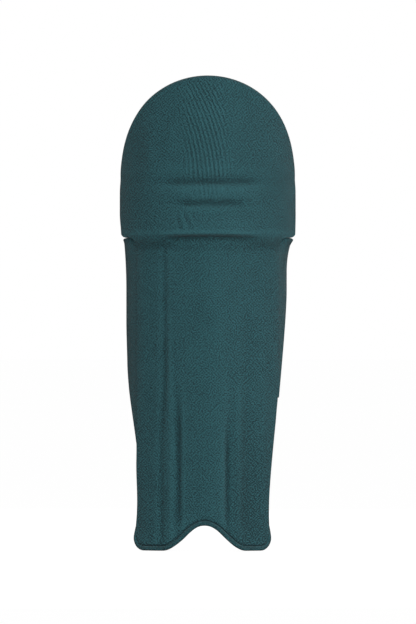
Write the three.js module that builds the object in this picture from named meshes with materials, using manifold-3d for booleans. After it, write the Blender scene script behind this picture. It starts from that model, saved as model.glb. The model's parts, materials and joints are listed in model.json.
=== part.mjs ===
// A cricket batting pad in a fitted stretch cover, for a tall adult's leg.
// Millimetres. +Z up, the shin faces -Y and the leg stands behind it. The origin is under the pad's middle.
// The pad is a shell bent round one upright line, so most places are an angle round that line (degrees, 0 in
// front, + towards +X), a radius from it and a height.
import * as THREE from 'three';
import { mergeVertices } from 'three/addons/utils/BufferGeometryUtils.js';
import Module from 'manifold-3d';

const wasm = await Module();
wasm.setup();

// Driving dimensions
const PAD_HEIGHT = 680;
const PAD_DEPTH = 170;
const KNEE_HALF_WIDTH = 126;
const KNEE_RADIUS = 136;
const TOP_HAT_RADIUS = 134;
const SHIN_RADIUS = 123;
const SHIN_HALF_ANGLE = 55;
const CREASE_HEIGHTS = [453, 498, 530];

// Thickness of each layer
const CLOTH = 1.6;
const FACING = 1.3;
const RIB = 16;
const KNEE_ROLL = 22;
const TOP_HAT_FOAM = 18;
const WING_FOAM = 13;
const BOARD = 3.4;
const LINING = 6;
const WING_LINING = 4;
const GAP = 0.5;

// Shape of the shell
const SHELL_Y = KNEE_RADIUS - PAD_DEPTH / 2;
const FLARE = { depth: 8, height: 90 };
const LEAN = { depth: 10, from: CREASE_HEIGHTS[2] };
const TAPER = { share: 0.2, height: 215 };
const DOME = { spring: 495, power: 2.5, low: 540 };
const ARCH = { height: 36, halfWidth: 62, x: -5 };
const FOOT = { corner: 14, welt: 7, steepest: 2.5 };
const BULGE = 5;
const HEM = 22;

// The knee folds about lines across the pad at this depth, and its creases are cut as a V about them
const KNEE_HINGE_Y = -30;
const CREASE = { gap: 1.2, front: 0.07, back: 0.16 };

// The wings are bent round a line of their own, and hinge where they meet the shin
const WING = { radius: 110, from: 62, to: 100, top: 441, hingeGap: 0.6, hingeSlope: 0.29 };
const CALF_KEEPER_EDGE = 84.5;
const LEFT = { side: -1, low: 140, rise: 130 };
const RIGHT = { side: 1, low: 205, rise: 175 };

const RIBS = { count: 7, pitch: 12.2, gap: 0.7 };
const CANE = { radius: 4.2, bore: 4.7 };
const SHIN_BOLSTER = { angle: 25, width: 26, depth: 17, ends: [95, 425] };
const KNEE_PAD = { halfAngle: 40, depth: 13 };
const CORD_RADIUS = 3.4;

const STRAP = { thickness: 4, height: 40, bevel: 0.9, joinGap: 1.6 };
const TAIL = { thickness: 2.4, height: 30 };
const PATCH = { thickness: 2, height: 44 };
const ANKLE = { halfWidth: 72, depth: 52 };
const KEEPER = { thickness: 2.4, loop: 4.4, bore: 2.7, standOff: 6.4 };
const RING = { wire: 2, corner: 4, width: 12, height: 46 };

// Each strap's height, the angles on its ellipse where its hook tail starts and ends, and the length and
// height of its ring's keeper
const STRAPS = {
  knee: { z: 412, join: 80, tip: 42, keeper: [18, 34] },
  calf: { z: 322, join: 80, tip: 42, keeper: [27, 28] },
  ankle: { z: 66, join: 66, tip: 14, keeper: [18, 34] },
};

// Every upright layer of the shin has its rows at these steps, so that the layers stay parallel.
const SHIN_ROWS = 6;

const FINISHES = {
  cover: { color: '#2f5359', roughness: 0.82 },
  facing: { color: '#e8e6df', roughness: 0.5 },
  foam: { color: '#d9d4c4', roughness: 0.9 },
  cane: { color: '#c9a668', roughness: 0.6 },
  board: { color: '#3b3d40', roughness: 0.7 },
  lining: { color: '#d8dad8', roughness: 0.9 },
  binding: { color: '#24383c', roughness: 0.6 },
  webbing: { color: '#1d2325', roughness: 0.8 },
  hook: { color: '#14181a', roughness: 0.95 },
  ring: { color: '#1a1c1e', roughness: 0.35 },
};

const { lerp, clamp, degToRad, radToDeg } = THREE.MathUtils;

// The inner and outer radius of each layer of a shell, from its outside in.
function layers(radius, thicknesses) {
  return thicknesses.map((thickness) => {
    const layer = [radius - thickness, radius];
    radius -= thickness + GAP;
    return layer;
  });
}

const shin = layers(SHIN_RADIUS, [CLOTH, FACING, RIB, BOARD, LINING, CLOTH]);
const knee = layers(KNEE_RADIUS, [CLOTH, KNEE_ROLL, LINING, CLOTH]);
const topHat = layers(TOP_HAT_RADIUS, [CLOTH, TOP_HAT_FOAM, BOARD, LINING, CLOTH]);
const wing = layers(WING.radius, [CLOTH, WING_FOAM, WING_LINING, CLOTH]);

// Where an angle, radius and height lie on the shell. Its right side narrows towards the foot, the foot
// flares forwards and the top hat leans back.
function onShell(angle, radius, height) {
  const low = clamp(1 - height / TAPER.height, 0, 1);
  const narrowing = 1 - TAPER.share * Math.sin(Math.PI / 2 * low);
  const turn = degToRad(angle > 0 ? angle * narrowing : angle);
  const flare = FLARE.depth * clamp(1 - height / FLARE.height, 0, 1) ** 2;
  const lean = LEAN.depth * Math.max(0, (height - LEAN.from) / (PAD_HEIGHT - LEAN.from)) ** 2;
  const r = radius + flare - lean;
  return new THREE.Vector3(r * Math.sin(turn), SHELL_Y - r * Math.cos(turn), height);
}

// Each wing's own line, set so that its outside meets the shin's at the seam.
const seam = onShell(SHIN_HALF_ANGLE, SHIN_RADIUS, TAPER.height);
const wingTurn = degToRad(WING.from);
const wingLine = {
  x: seam.x - WING.radius * Math.sin(wingTurn),
  y: seam.y + WING.radius * Math.cos(wingTurn),
};

function onWing({ side }) {
  return (angle, radius, height) => {
    const turn = degToRad(angle);
    const x = side * (wingLine.x + radius * Math.sin(turn));
    return new THREE.Vector3(x, wingLine.y - radius * Math.cos(turn), height);
  };
}

// The foot of the pad: an arch over the instep between two lobes with round outer corners.
function footShape(angle) {
  const { x } = onShell(angle, SHIN_RADIUS, 0);
  const off = Math.min(1, Math.abs(x - ARCH.x) / ARCH.halfWidth);
  const edge = Math.abs(onShell(angle < 0 ? -SHIN_HALF_ANGLE : SHIN_HALF_ANGLE, SHIN_RADIUS, 0).x);
  const past = clamp((Math.abs(x) - edge + FOOT.corner) / FOOT.corner, 0, 1);
  return ARCH.height * Math.cos(Math.PI / 2 * off) ** 2 + FOOT.corner * (1 - Math.sqrt(1 - past * past));
}

// The height of a line that keeps `clear` above the foot, measured square to its slope.
function foot(clear) {
  return (angle) => {
    const step = 0.5;
    const rise = footShape(angle + step) - footShape(angle - step);
    const run = onShell(angle + step, SHIN_RADIUS, 0).x - onShell(angle - step, SHIN_RADIUS, 0).x;
    const slope = clamp(rise / run, -FOOT.steepest, FOOT.steepest);
    return footShape(angle) + clear * Math.hypot(1, slope);
  };
}

// The largest angle of a shell of this radius in the knee and top hat, drawn in from its edge.
function halfAngle(radius, inset = 0) {
  return radToDeg(Math.asin(KNEE_HALF_WIDTH / radius) - inset / radius);
}

// The top hat's outline, drawn in from its edge: a dome over sides that start just above the last crease.
function dome(inset) {
  const widest = Math.sin(degToRad(halfAngle(TOP_HAT_RADIUS, inset)));
  const rise = PAD_HEIGHT - inset - DOME.spring;
  const curve = (share) => (1 - Math.min(1, share) ** DOME.power) ** (1 / DOME.power);
  const side = radToDeg(Math.asin(widest * curve((DOME.low - DOME.spring) / rise)));
  return { side, line: (angle) => DOME.spring + rise * curve(Math.abs(Math.sin(degToRad(angle))) / widest) };
}

// Half of the V that a knee crease leaves open, so that its bolsters can fold both ways.
function halfCrease(angle, radius) {
  const behind = SHELL_Y - radius * Math.cos(degToRad(angle)) - KNEE_HINGE_Y;
  return (CREASE.gap + (behind > 0 ? CREASE.back * behind : -CREASE.front * behind)) / 2;
}

function above(crease, clear = 0) {
  return (angle, radius) => CREASE_HEIGHTS[crease] + halfCrease(angle, radius) + clear;
}

function below(crease, clear = 0) {
  return (angle, radius) => CREASE_HEIGHTS[crease] - halfCrease(angle, radius) - clear;
}

// How far out a knee bolster stands at a height: full at its middle, and drawn in at its creases.
function bolster(crease, inset = 0) {
  const [low, high] = CREASE_HEIGHTS.slice(crease, crease + 2);
  return (height) => {
    const offMiddle = (2 * height - low - high) / (high - low);
    return KNEE_RADIUS - inset - BULGE * Math.min(1, offMiddle * offMiddle);
  };
}

// A wing's front edge, cut back from the hinge line so that it can fold inwards, and its rising lower edge.
function wingFront(_, radius) {
  return WING.from + radToDeg((WING.hingeGap + WING.hingeSlope * (WING.radius - radius)) / radius);
}

function wingLow({ low, rise }, inset) {
  const length = degToRad(WING.to - WING.from) * WING.radius;
  return (angle) => {
    const left = 1 - clamp((angle - WING.from) / (WING.to - WING.from), 0, 1);
    return low + rise * (1 - left * left) + inset * Math.hypot(1, 2 * left * rise / length);
  };
}

// A geometry's closed surface with shared vertices and its faces pointing out.
function closed(geometry) {
  geometry.deleteAttribute('normal');
  geometry.deleteAttribute('uv');
  const merged = mergeVertices(geometry, 1e-3);
  const corner = (i) => new THREE.Vector3().fromBufferAttribute(merged.attributes.position, i);
  const kept = [];
  let volume = 0;
  for (let i = 0; i < merged.index.count; i += 3) {
    const [a, b, c] = merged.index.array.slice(i, i + 3);
    if (a === b || b === c || c === a) continue;
    kept.push(a, b, c);
    volume += corner(a).dot(corner(b).cross(corner(c)));
  }
  return merged.setIndex(volume < 0 ? kept.reverse() : kept);
}

function toSolid(geometry) {
  const vertProperties = geometry.attributes.position.array;
  const triVerts = new Uint32Array(geometry.index.array);
  return new wasm.Manifold(new wasm.Mesh({ numProp: 3, vertProperties, triVerts }));
}

function cut(geometry, ...tools) {
  const mesh = tools.reduce((solid, tool) => solid.subtract(toSolid(tool)), toSolid(geometry)).getMesh();
  return new THREE.BufferGeometry()
    .setAttribute('position', new THREE.BufferAttribute(mesh.vertProperties, 3))
    .setIndex(new THREE.BufferAttribute(mesh.triVerts, 1));
}

function read(value, ...at) {
  return typeof value === 'function' ? value(...at) : value;
}

// A block bent onto a shell. `sides` are its first and last angles and `ends` its lower and upper heights,
// each a number or a function of angle and radius. `faces` are its inner and outer radii, each a number or a
// function of height.
function bent({ sides, ends, faces, columns = 15, rows = 4, onto = onShell, rowAt = (v) => v }) {
  const block = new THREE.BoxGeometry(1, 1, 1, columns, rows, 1);
  const p = block.attributes.position;
  for (let i = 0; i < p.count; i++) {
    const u = p.getX(i) + 0.5;
    const v = rowAt(p.getY(i) + 0.5);
    const face = faces[p.getZ(i) > 0 ? 1 : 0];
    const nominal = read(face, 0);
    const angle = lerp(read(sides[0], 0, nominal), read(sides[1], 0, nominal), u);
    const height = lerp(read(ends[0], angle, nominal), read(ends[1], angle, nominal), v);
    p.setXYZ(i, ...onto(angle, read(face, height), height).toArray());
  }
  return closed(block);
}

// A flat profile drawn along a third direction: `place` says where each of its points goes at each step.
function drawn(profile, steps, place) {
  const bar = new THREE.ExtrudeGeometry(profile, { depth: 1, steps, curveSegments: 4, bevelEnabled: false });
  const p = bar.attributes.position;
  for (let i = 0; i < p.count; i++) p.setXYZ(i, ...place(p.getX(i), p.getY(i), p.getZ(i)).toArray());
  return closed(bar);
}

// Rows crowd towards the foot, where the shin flares.
function toFoot(v) {
  return v ** 1.5;
}

// A padding roll's section: flat at the back, round in front, with a bore for its cane if it has one.
function rollProfile(width, depth, bore) {
  const w = width / 2;
  const corner = Math.min(w, depth) * 0.62;
  const shape = new THREE.Shape()
    .moveTo(-w, 0)
    .lineTo(0, 0)
    .lineTo(w, 0)
    .lineTo(w, depth - corner)
    .quadraticCurveTo(w, depth, w - corner, depth)
    .lineTo(corner - w, depth)
    .quadraticCurveTo(-w, depth, -w, depth - corner);
  if (bore) shape.holes.push(new THREE.Path().absarc(0, depth / 2, bore, 0, 2 * Math.PI, true));
  return shape;
}

// An upright roll against the shell: `back` is the radius of its flat side, and `facing` is 1 outwards or -1
// inwards.
function upright(profile, { angle, back, facing, ends }) {
  return drawn(profile, SHIN_ROWS, (across, out, s) => {
    const turn = angle + radToDeg(across / back);
    const height = lerp(read(ends[0], turn), read(ends[1], turn, back), toFoot(s));
    return onShell(turn, back + facing * out, height);
  });
}

// A roll across the knee between two creases. `height` is the profile's full height.
function across(profile, { height, crease, back, half, clear }) {
  return drawn(profile, 12, (up, out, s) => {
    const angle = lerp(-half, half, s);
    const radius = back + out;
    const low = above(crease, clear)(angle, radius);
    const high = below(crease + 1, clear)(angle, radius);
    return onShell(angle, radius, lerp(low, high, up / height + 0.5));
  });
}

const pad = new THREE.Group();

function add(name, finish, geometry, into = pad) {
  const material = new THREE.MeshStandardMaterial({ ...FINISHES[finish], metalness: 0 });
  const mesh = new THREE.Mesh(geometry, material);
  mesh.name = name;
  into.add(mesh);
}

function about(middle) {
  return [-middle, middle];
}

// Shin: a facing, upright cane ribs, a backing board and a lining, closed at the foot by a welt
function addShin() {
  const [cover, facing, rib, board, lining, hem] = shin;
  const inside = (thickness) => SHIN_HALF_ANGLE - radToDeg(thickness / lining[0]);
  const contents = CLOTH + 2 * GAP;
  const sheet = { sides: about(inside(contents)), rows: SHIN_ROWS, rowAt: toFoot };
  const start = foot(FOOT.welt + 3);

  const wrap = { ...sheet, sides: about(SHIN_HALF_ANGLE), faces: [hem[0], cover[1]] };
  const open = [foot(FOOT.welt), below(0, -2)];
  const hollow = { ...sheet, sides: about(inside(CLOTH)), faces: [hem[1], cover[0]], ends: open };
  const window = { ...hollow, sides: about(inside(HEM)), faces: [hem[0] - 5, hem[1] + GAP] };
  const casing = bent({ ...wrap, ends: [foot(FOOT.welt + 1.5), below(0)] });
  add('cover_shin', 'cover', cut(casing, bent(hollow), bent(window), wingRoot(LEFT), wingRoot(RIGHT)));

  add('shin_facing', 'facing', bent({ ...sheet, faces: facing, ends: [start, below(0, 1)] }));
  const ribSpan = RIBS.pitch * RIBS.count / 2;
  for (let i = 0; i < RIBS.count; i++) {
    const angle = RIBS.pitch * (i + 0.5) - ribSpan;
    const width = degToRad(RIBS.pitch) * rib[0] - RIBS.gap;
    const place = { angle, back: rib[0], facing: 1, ends: [start, below(0, 2)] };
    add(`shin_rib_${i + 1}`, 'foam', upright(rollProfile(width, RIB, CANE.bore), place));
    const rod = new THREE.Shape().absarc(0, RIB / 2, CANE.radius, 0, 2 * Math.PI);
    add(`shin_cane_${i + 1}`, 'cane', upright(rod, { ...place, ends: [foot(FOOT.welt + 6), below(0, 6)] }));
  }
  for (const [name, direction] of [['left', -1], ['right', 1]]) {
    const sides = [direction * (ribSpan + 0.4), direction * inside(contents)];
    const foam = { ...sheet, sides, faces: rib, ends: [start, below(0, 2)], columns: 2 };
    add(`shin_side_foam_${name}`, 'foam', bent(foam));
    const { angle, width, depth, ends } = SHIN_BOLSTER;
    const place = { angle: direction * angle, back: lining[0] - GAP, facing: -1, ends };
    add(`shin_bolster_${name}`, 'lining', upright(rollProfile(width, depth), place));
  }
  add('shin_board', 'board', bent({ ...sheet, faces: board, ends: [start, below(0, 4)] }));
  add('shin_lining', 'lining', bent({ ...sheet, faces: lining, ends: [start, below(0, 2)] }));

  const welt = { faces: [lining[0], rib[1] - 2.8], ends: [foot(0), foot(FOOT.welt)] };
  add('instep_welt', 'binding', bent({ ...sheet, ...welt, rows: 1, columns: 28 }));
  addHemCord();
}

// The opening that each wing's root leaves in the back of the shin's cover.
function wingRoot({ side, low }) {
  const [, , , , lining, hem] = shin;
  return bent({
    sides: [side * (SHIN_HALF_ANGLE - 15), side * (SHIN_HALF_ANGLE + 5)],
    ends: [low, CREASE_HEIGHTS[1]],
    faces: [hem[0] - 5, lining[0]],
    columns: 2,
  });
}

// A piped cord sewn along the foot of the shin's cover.
function addHemCord() {
  const bends = 22;
  const line = Array.from({ length: bends + 1 }, (_, i) => {
    const angle = lerp(-SHIN_HALF_ANGLE, SHIN_HALF_ANGLE, i / bends);
    return onShell(angle, SHIN_RADIUS - CORD_RADIUS + 0.6, foot(CORD_RADIUS + 0.3)(angle));
  });
  const round = new THREE.Shape().absarc(0, 0, CORD_RADIUS, 0, 2 * Math.PI);
  const extrudePath = new THREE.CatmullRomCurve3(line);
  const cord = new THREE.ExtrudeGeometry(round, { extrudePath, steps: 36, curveSegments: 3 });
  add('hem_cord', 'cover', closed(cord));
}

// Knee: two bolsters, each a roll on a cane with its own length of cover, lining and inner pad
function addKnee() {
  const [cover, roll, lining, hem] = knee;
  const half = halfAngle(KNEE_RADIUS);
  const inside = halfAngle(KNEE_RADIUS, CLOTH + GAP);
  const hemHalf = half - radToDeg(HEM / hem[0]);
  for (const [crease, name] of [[0, 'lower'], [1, 'upper']]) {
    const ends = [above(crease), below(crease + 1)];
    const outer = { sides: about(half), ends, faces: [hem[0], bolster(crease)] };
    const open = [above(crease, -2), below(crease + 1, -2)];
    const hollow = { sides: about(inside), ends: open, faces: [hem[1], bolster(crease, CLOTH)] };
    const window = { sides: about(hemHalf), ends: open, faces: [hem[0] - 5, hem[1] + GAP] };
    add(`cover_knee_${name}`, 'cover', cut(bent(outer), bent(hollow), bent(window)));

    const height = CREASE_HEIGHTS[crease + 1] - CREASE_HEIGHTS[crease];
    const place = { height, crease, back: roll[0] + 0.4, half: inside - 1.5, clear: 1.2 };
    const depth = KNEE_ROLL - 2;
    add(`knee_roll_${name}`, 'foam', across(rollProfile(height, depth, CANE.bore * 1.3), place));
    const rod = new THREE.Shape().absarc(0, depth / 2, CANE.radius, 0, 2 * Math.PI);
    add(`knee_cane_${name}`, 'cane', across(rod, { ...place, half: inside - 2.5 }));
    const span = [above(crease, 1), below(crease + 1, 1)];
    add(`knee_lining_${name}`, 'lining', bent({ sides: about(inside), ends: span, faces: lining, rows: 2 }));
    const back = lining[0] - GAP;
    const cushion = { sides: about(KNEE_PAD.halfAngle), faces: [back - KNEE_PAD.depth, back], rows: 2 };
    const cushionEnds = [above(crease, 3), below(crease + 1, 3)];
    add(`knee_pad_${name}`, 'lining', bent({ ...cushion, ends: cushionEnds }));
  }
}

// Top hat: foam, board and lining under a domed cover
function addTopHat() {
  const [cover, foam, board, lining, hem] = topHat;
  const sheet = (inset, faces, clear) => {
    const { side, line } = dome(inset);
    return bent({ sides: about(side), ends: [above(2, clear), line], faces, columns: 18 });
  };
  const outer = sheet(0, [hem[0], cover[1]], 0);
  const hollow = sheet(CLOTH, [hem[1], cover[0]], -2);
  const window = sheet(HEM, [hem[0] - 5, hem[1] + GAP], -4);
  add('cover_top_hat', 'cover', cut(outer, hollow, window));
  const inset = CLOTH + 4 * GAP;
  add('top_hat_foam', 'foam', sheet(inset, foam, 1.5));
  add('top_hat_board', 'board', sheet(inset + 3, board, 4));
  add('top_hat_lining', 'lining', sheet(inset, lining, 1));
}

// Wings: foam and lining in a cover that carries on from the shin's
function addWing(name, shape) {
  const [cover, foam, lining, hem] = wing;
  const sheet = (inset, faces, openFront = 0) => ({
    sides: [(z, r) => wingFront(z, r) - openFront, WING.to - radToDeg(inset / WING.radius)],
    ends: [wingLow(shape, inset), WING.top - inset], faces, onto: onWing(shape), columns: 8,
  });
  const outer = sheet(0, [hem[0], cover[1]]);
  const hollow = sheet(CLOTH, [hem[1], cover[0]], 3);
  const window = sheet(HEM, [hem[0] - 5, hem[1] + GAP], 5);
  add(`cover_wing_${name}`, 'cover', cut(bent(outer), bent(hollow), bent(window)));
  add(`wing_foam_${name}`, 'foam', bent(sheet(CLOTH + 4 * GAP, foam)));
  add(`wing_lining_${name}`, 'lining', bent(sheet(CLOTH + 3 * GAP, lining)));
}

// A strap lies on half an ellipse behind the leg: from its anchor, which is the ellipse's left end, round to
// its free end. The ellipse's middle is at x = `centre`, and its furthest point back is at y = `rear`.
function bandShape({ anchor, centre, rear }, thickness, from, to) {
  const a = centre - anchor.x;
  const b = rear - anchor.y;
  const t = thickness / 2;
  return new THREE.Shape()
    .absellipse(centre, anchor.y, a + t, b + t, degToRad(from), degToRad(to))
    .absellipse(centre, anchor.y, a - t, b - t, degToRad(to), degToRad(from), true);
}

function band(path, thickness, height, from, to) {
  const { bevel } = STRAP;
  const depth = height - 2 * bevel;
  const strip = new THREE.ExtrudeGeometry(bandShape(path, thickness, from, to), {
    depth,
    curveSegments: 6,
    bevelThickness: bevel,
    bevelSize: bevel,
    bevelOffset: -bevel,
    bevelSegments: 1,
  });
  return closed(strip.translate(0, 0, path.anchor.z - depth / 2));
}

function addStrap(name, path, patch) {
  const { join, tip } = STRAPS[name];
  const { z } = path.anchor;
  const ends = [z - PATCH.height / 2, z + PATCH.height / 2];
  add(`${name}_strap_patch`, 'binding', bent({ ...patch, ends, rows: 1, columns: 4 }));
  add(`${name}_strap`, 'webbing', band(path, STRAP.thickness, STRAP.height, join + STRAP.joinGap, 180));
  add(`${name}_strap_tail`, 'hook', band(path, TAIL.thickness, TAIL.height, tip, join));
}

// A ring hangs in a folded webbing keeper, whose tail is sewn inside the pad's right edge. `middle` is the
// middle of the tail, and `turn` is the tail's direction.
function addRing(name, middle, turn) {
  const [tail, height] = STRAPS[name].keeper;
  const reach = tail / 2 + KEEPER.standOff;
  const direction = new THREE.Vector3(Math.cos(degToRad(turn)), Math.sin(degToRad(turn)), 0);
  const holder = new THREE.Group();
  holder.position.copy(middle).addScaledVector(direction, reach);
  holder.rotation.z = degToRad(turn);
  pad.add(holder);

  const half = KEEPER.thickness / 2;
  const mouth = Math.asin(half / KEEPER.loop);
  const end = -reach - tail / 2;
  const loop = new THREE.Shape()
    .moveTo(end, -half)
    .absarc(0, 0, KEEPER.loop, Math.PI + mouth, 3 * Math.PI - mouth)
    .lineTo(end, half);
  loop.holes.push(new THREE.Path().absarc(0, 0, KEEPER.bore, 0, 2 * Math.PI, true));
  const keeper = new THREE.ExtrudeGeometry(loop, { depth: height, curveSegments: 8, bevelEnabled: false });
  add(`${name}_ring_keeper`, 'webbing', closed(keeper.translate(0, 0, -height / 2)), holder);

  // A torus pulled out into a rectangle: each quarter moves to its own corner.
  const segments = 12;
  const ring = new THREE.TorusGeometry(RING.corner, RING.wire, 6, segments).rotateZ(Math.PI / segments);
  const p = ring.attributes.position;
  const pull = { x: RING.width / 2 - RING.corner, y: RING.height / 2 - RING.corner };
  for (let i = 0; i < p.count; i++) {
    const along = (2 * (i % (segments + 1)) + 1) * Math.PI / segments;
    p.setX(i, p.getX(i) + Math.sign(Math.cos(along)) * pull.x);
    p.setY(i, p.getY(i) + Math.sign(Math.sin(along)) * pull.y);
  }
  add(`${name}_ring`, 'ring', closed(ring.rotateX(Math.PI / 2).translate(RING.width / 2, 0, 0)), holder);
}

// The straps start on the left edge, sewn to patches inside the cover's hem, and reach towards rings on the
// right.
function addFastenings() {
  const rear = PAD_DEPTH / 2 - STRAP.thickness / 2;
  const inside = (hem, thickness) => hem[0] - GAP - thickness / 2;
  const patchFaces = (hem) => [hem[0] - GAP - PATCH.thickness, hem[0] - GAP];
  const tailRadius = (hem, tail) => inside(hem, KEEPER.thickness) - tail * tail / 8 / hem[0];

  const wingHem = wing[3];
  for (const [name, edge] of [['knee', WING.to], ['calf', CALF_KEEPER_EDGE]]) {
    const { z, keeper: [tail] } = STRAPS[name];
    const anchor = onWing(LEFT)(WING.to + 4.8, inside(wingHem, PATCH.thickness), z);
    const patch = { sides: [WING.to - 16, WING.to + 3], faces: patchFaces(wingHem), onto: onWing(LEFT) };
    addStrap(name, { anchor, centre: 0, rear }, patch);
    const radius = tailRadius(wingHem, tail);
    const middle = edge - radToDeg(tail / 2 / radius);
    addRing(name, onWing(RIGHT)(middle, radius, z), middle);
  }

  const shinHem = shin[5];
  const { z, keeper: [tail] } = STRAPS.ankle;
  const anchor = onShell(-SHIN_HALF_ANGLE - 5.3, inside(shinHem, PATCH.thickness), z);
  const patch = { sides: [-SHIN_HALF_ANGLE - 3.5, -SHIN_HALF_ANGLE + 9], faces: patchFaces(shinHem) };
  addStrap('ankle', { anchor, centre: anchor.x + ANKLE.halfWidth, rear: anchor.y + ANKLE.depth }, patch);
  const radius = tailRadius(shinHem, tail);
  const edge = onShell(SHIN_HALF_ANGLE, radius, z);
  const turn = Math.atan2(edge.x, SHELL_Y - edge.y) - tail / 2 / radius;
  const middle = new THREE.Vector3(radius * Math.sin(turn), SHELL_Y - radius * Math.cos(turn), z);
  addRing('ankle', middle, radToDeg(turn));
}

addShin();
addKnee();
addTopHat();
addWing('left', LEFT);
addWing('right', RIGHT);
addFastenings();

export default pad;
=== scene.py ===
import json
import math

import bpy
import numpy as np
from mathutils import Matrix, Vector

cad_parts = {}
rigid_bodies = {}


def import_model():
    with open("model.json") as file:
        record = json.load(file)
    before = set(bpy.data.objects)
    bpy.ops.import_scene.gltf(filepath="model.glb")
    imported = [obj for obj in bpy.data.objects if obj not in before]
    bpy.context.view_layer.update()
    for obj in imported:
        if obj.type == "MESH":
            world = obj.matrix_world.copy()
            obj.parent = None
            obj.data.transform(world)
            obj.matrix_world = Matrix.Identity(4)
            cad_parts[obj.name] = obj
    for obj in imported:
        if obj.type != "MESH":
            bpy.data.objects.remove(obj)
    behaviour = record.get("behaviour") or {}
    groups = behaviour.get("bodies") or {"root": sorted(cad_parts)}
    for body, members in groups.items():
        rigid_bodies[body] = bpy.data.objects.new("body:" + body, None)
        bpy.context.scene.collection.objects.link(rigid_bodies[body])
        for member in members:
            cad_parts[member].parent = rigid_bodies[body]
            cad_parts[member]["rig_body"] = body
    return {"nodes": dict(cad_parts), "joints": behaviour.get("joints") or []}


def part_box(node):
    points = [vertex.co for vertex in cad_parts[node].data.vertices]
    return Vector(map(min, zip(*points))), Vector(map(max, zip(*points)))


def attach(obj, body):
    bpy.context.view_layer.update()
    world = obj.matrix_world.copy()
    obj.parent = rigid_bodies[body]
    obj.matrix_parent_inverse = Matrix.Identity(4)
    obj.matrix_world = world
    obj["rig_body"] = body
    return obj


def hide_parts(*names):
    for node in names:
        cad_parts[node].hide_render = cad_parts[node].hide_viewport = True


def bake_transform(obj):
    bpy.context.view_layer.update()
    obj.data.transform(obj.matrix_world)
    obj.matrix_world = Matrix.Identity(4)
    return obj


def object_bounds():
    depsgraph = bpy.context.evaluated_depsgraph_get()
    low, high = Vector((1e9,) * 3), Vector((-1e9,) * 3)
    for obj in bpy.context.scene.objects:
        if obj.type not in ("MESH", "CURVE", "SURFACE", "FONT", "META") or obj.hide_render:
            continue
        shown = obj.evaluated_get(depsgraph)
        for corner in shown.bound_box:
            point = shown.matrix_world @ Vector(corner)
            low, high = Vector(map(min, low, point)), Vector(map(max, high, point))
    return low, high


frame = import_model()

cad_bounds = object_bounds()
MM = 0.001


def corners(node):
    """A node's lowest and highest corners."""
    low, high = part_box(node)
    return np.array(low) / MM, np.array(high) / MM


# Dimensions taken from the frame
shin_high = corners("cover_shin")[1]
knee_low, knee_high = corners("cover_knee_lower")
upper_low, upper_high = corners("cover_knee_upper")
hat_low, hat_high = corners("cover_top_hat")
PAD_HEIGHT = hat_high[2]
KNEE_HALF_WIDTH = knee_high[0]
CREASES = [
    (shin_high[2] + knee_low[2]) / 2,
    (knee_high[2] + upper_low[2]) / 2,
    (upper_high[2] + hat_low[2]) / 2,
]

# The bend of the shell, as the frame's covers have it
SHIN_RADIUS = 123
KNEE_RADIUS = 136
HAT_RADIUS = 134
SHIN_BACK = 90.8
KNEE_BACK = 103.5
HAT_BACK = 101.6
SHELL_Y = knee_low[1] + KNEE_RADIUS
SHIN_HALF_ANGLE = 55
TAPER_SHARE, TAPER_HEIGHT = 0.2, 215
FLARE_DEPTH, FLARE_HEIGHT = 8, 90
LEAN_DEPTH = 10
DOME_SPRING, DOME_STEEP, DOME_POWER = 495, 550, 3.08
ARCH_HEIGHT, ARCH_HALF_WIDTH, ARCH_X = 36, 62, -5
FOOT_CORNER = 14
STEEPEST = 2.5

WING_RADIUS = 110
WING_BACK = 88.5
WING_FROM, WING_TO = 62, 100
HINGE_GAP, HINGE_SLOPE = 0.8, 0.38
WINGS = {"left": (-1, 140, 130), "right": (1, 205, 175)}

CLOTH = 1.4
EDGE_TURN = 5.5
NO_SEAM = 99.0
QUARTER = np.pi / 2

# The covers and linings are cut into three here, one piece for each crease of the knee. FOLD_REACH marks a
# span about each crease, but nothing bends the pieces.
CUTS = [(CREASES[0] + CREASES[1]) / 2, (CREASES[1] + CREASES[2]) / 2]
FOLD_REACH = 8

# The main cover: its columns, how far it stands out beside the frame's cover and above the foot, the step
# out from the shin to the knee, and how far the outermost dips on the left drift towards the foot
FRONT_COLUMNS = 121
SHOULDER = {"from": 446.5, "rise": 7, "level": 0.9, "rows": 17}
WIDEN = 1.8
COVER_FOOT = 9.8
DRIFT, DRIFTS_BEYOND = 5, -60

# Where the shin's cover dips between the ribs beneath it, and where it swells over them: place across,
# width, depth, and the heights it runs between
SHIN_RELIEF = [
    (-62, 4.5, -1.9, -20, 436),
    (-42, 4.5, -3.4, 38, 200),
    (28, 4.5, -3.4, 38, 170),
    (57, 9.0, -1.2, 20, 330),
    (-53, 5.0, 1.2, 0, 300),
    (44, 6.0, 1.2, 30, 230),
    (79, 8.0, 0.7, 0, 430),
    (12, 24.0, 2.6, 40, 420),
    (-95, 14.0, 2.4, 90, 436),
    (96, 13.0, 1.4, 240, 436),
    (62, 12.0, -1.6, -10, 190),
]

# The rolls (+) and folds (-) across the knee: depth, the places across that they run between, how softly
# they end, and their height and width
KNEE_REACH = (-54, 60, 24)
KNEE_FOLDS = [
    (-3.0, (-36, 40, 12), CREASES[1] - 1, 6),
    (-0.5, KNEE_REACH, CREASES[1] - 1, 6),
    (1.8, KNEE_REACH, 512, 9),
    (2.2, (-50, 60, 30), 465, 13),
]

# Where the top hat swells (+) and dips (-): depth, place across, width, height and how tall
HAT_RELIEF = [
    (1.3, -74, 9, 572, 42),
    (-0.9, -93, 10, 570, 60),
    (1.6, 5, 60, 600, 50),
]

# The linings' quilting and the cushions on them
QUILT = 30
LINING_CLEAR = 2.0
CUSHION_DEPTH = {"shin": 15.0, "knee_lower": 12.0, "knee_upper": 12.0}

# The foot's cord and the height where its ends have turned up into the cover, and the facing's outline
CORD_RADIUS = 3.4
CORD_TOP = 40
FACING_HALF_ANGLE, FACING_TOP = 50, 436

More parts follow.
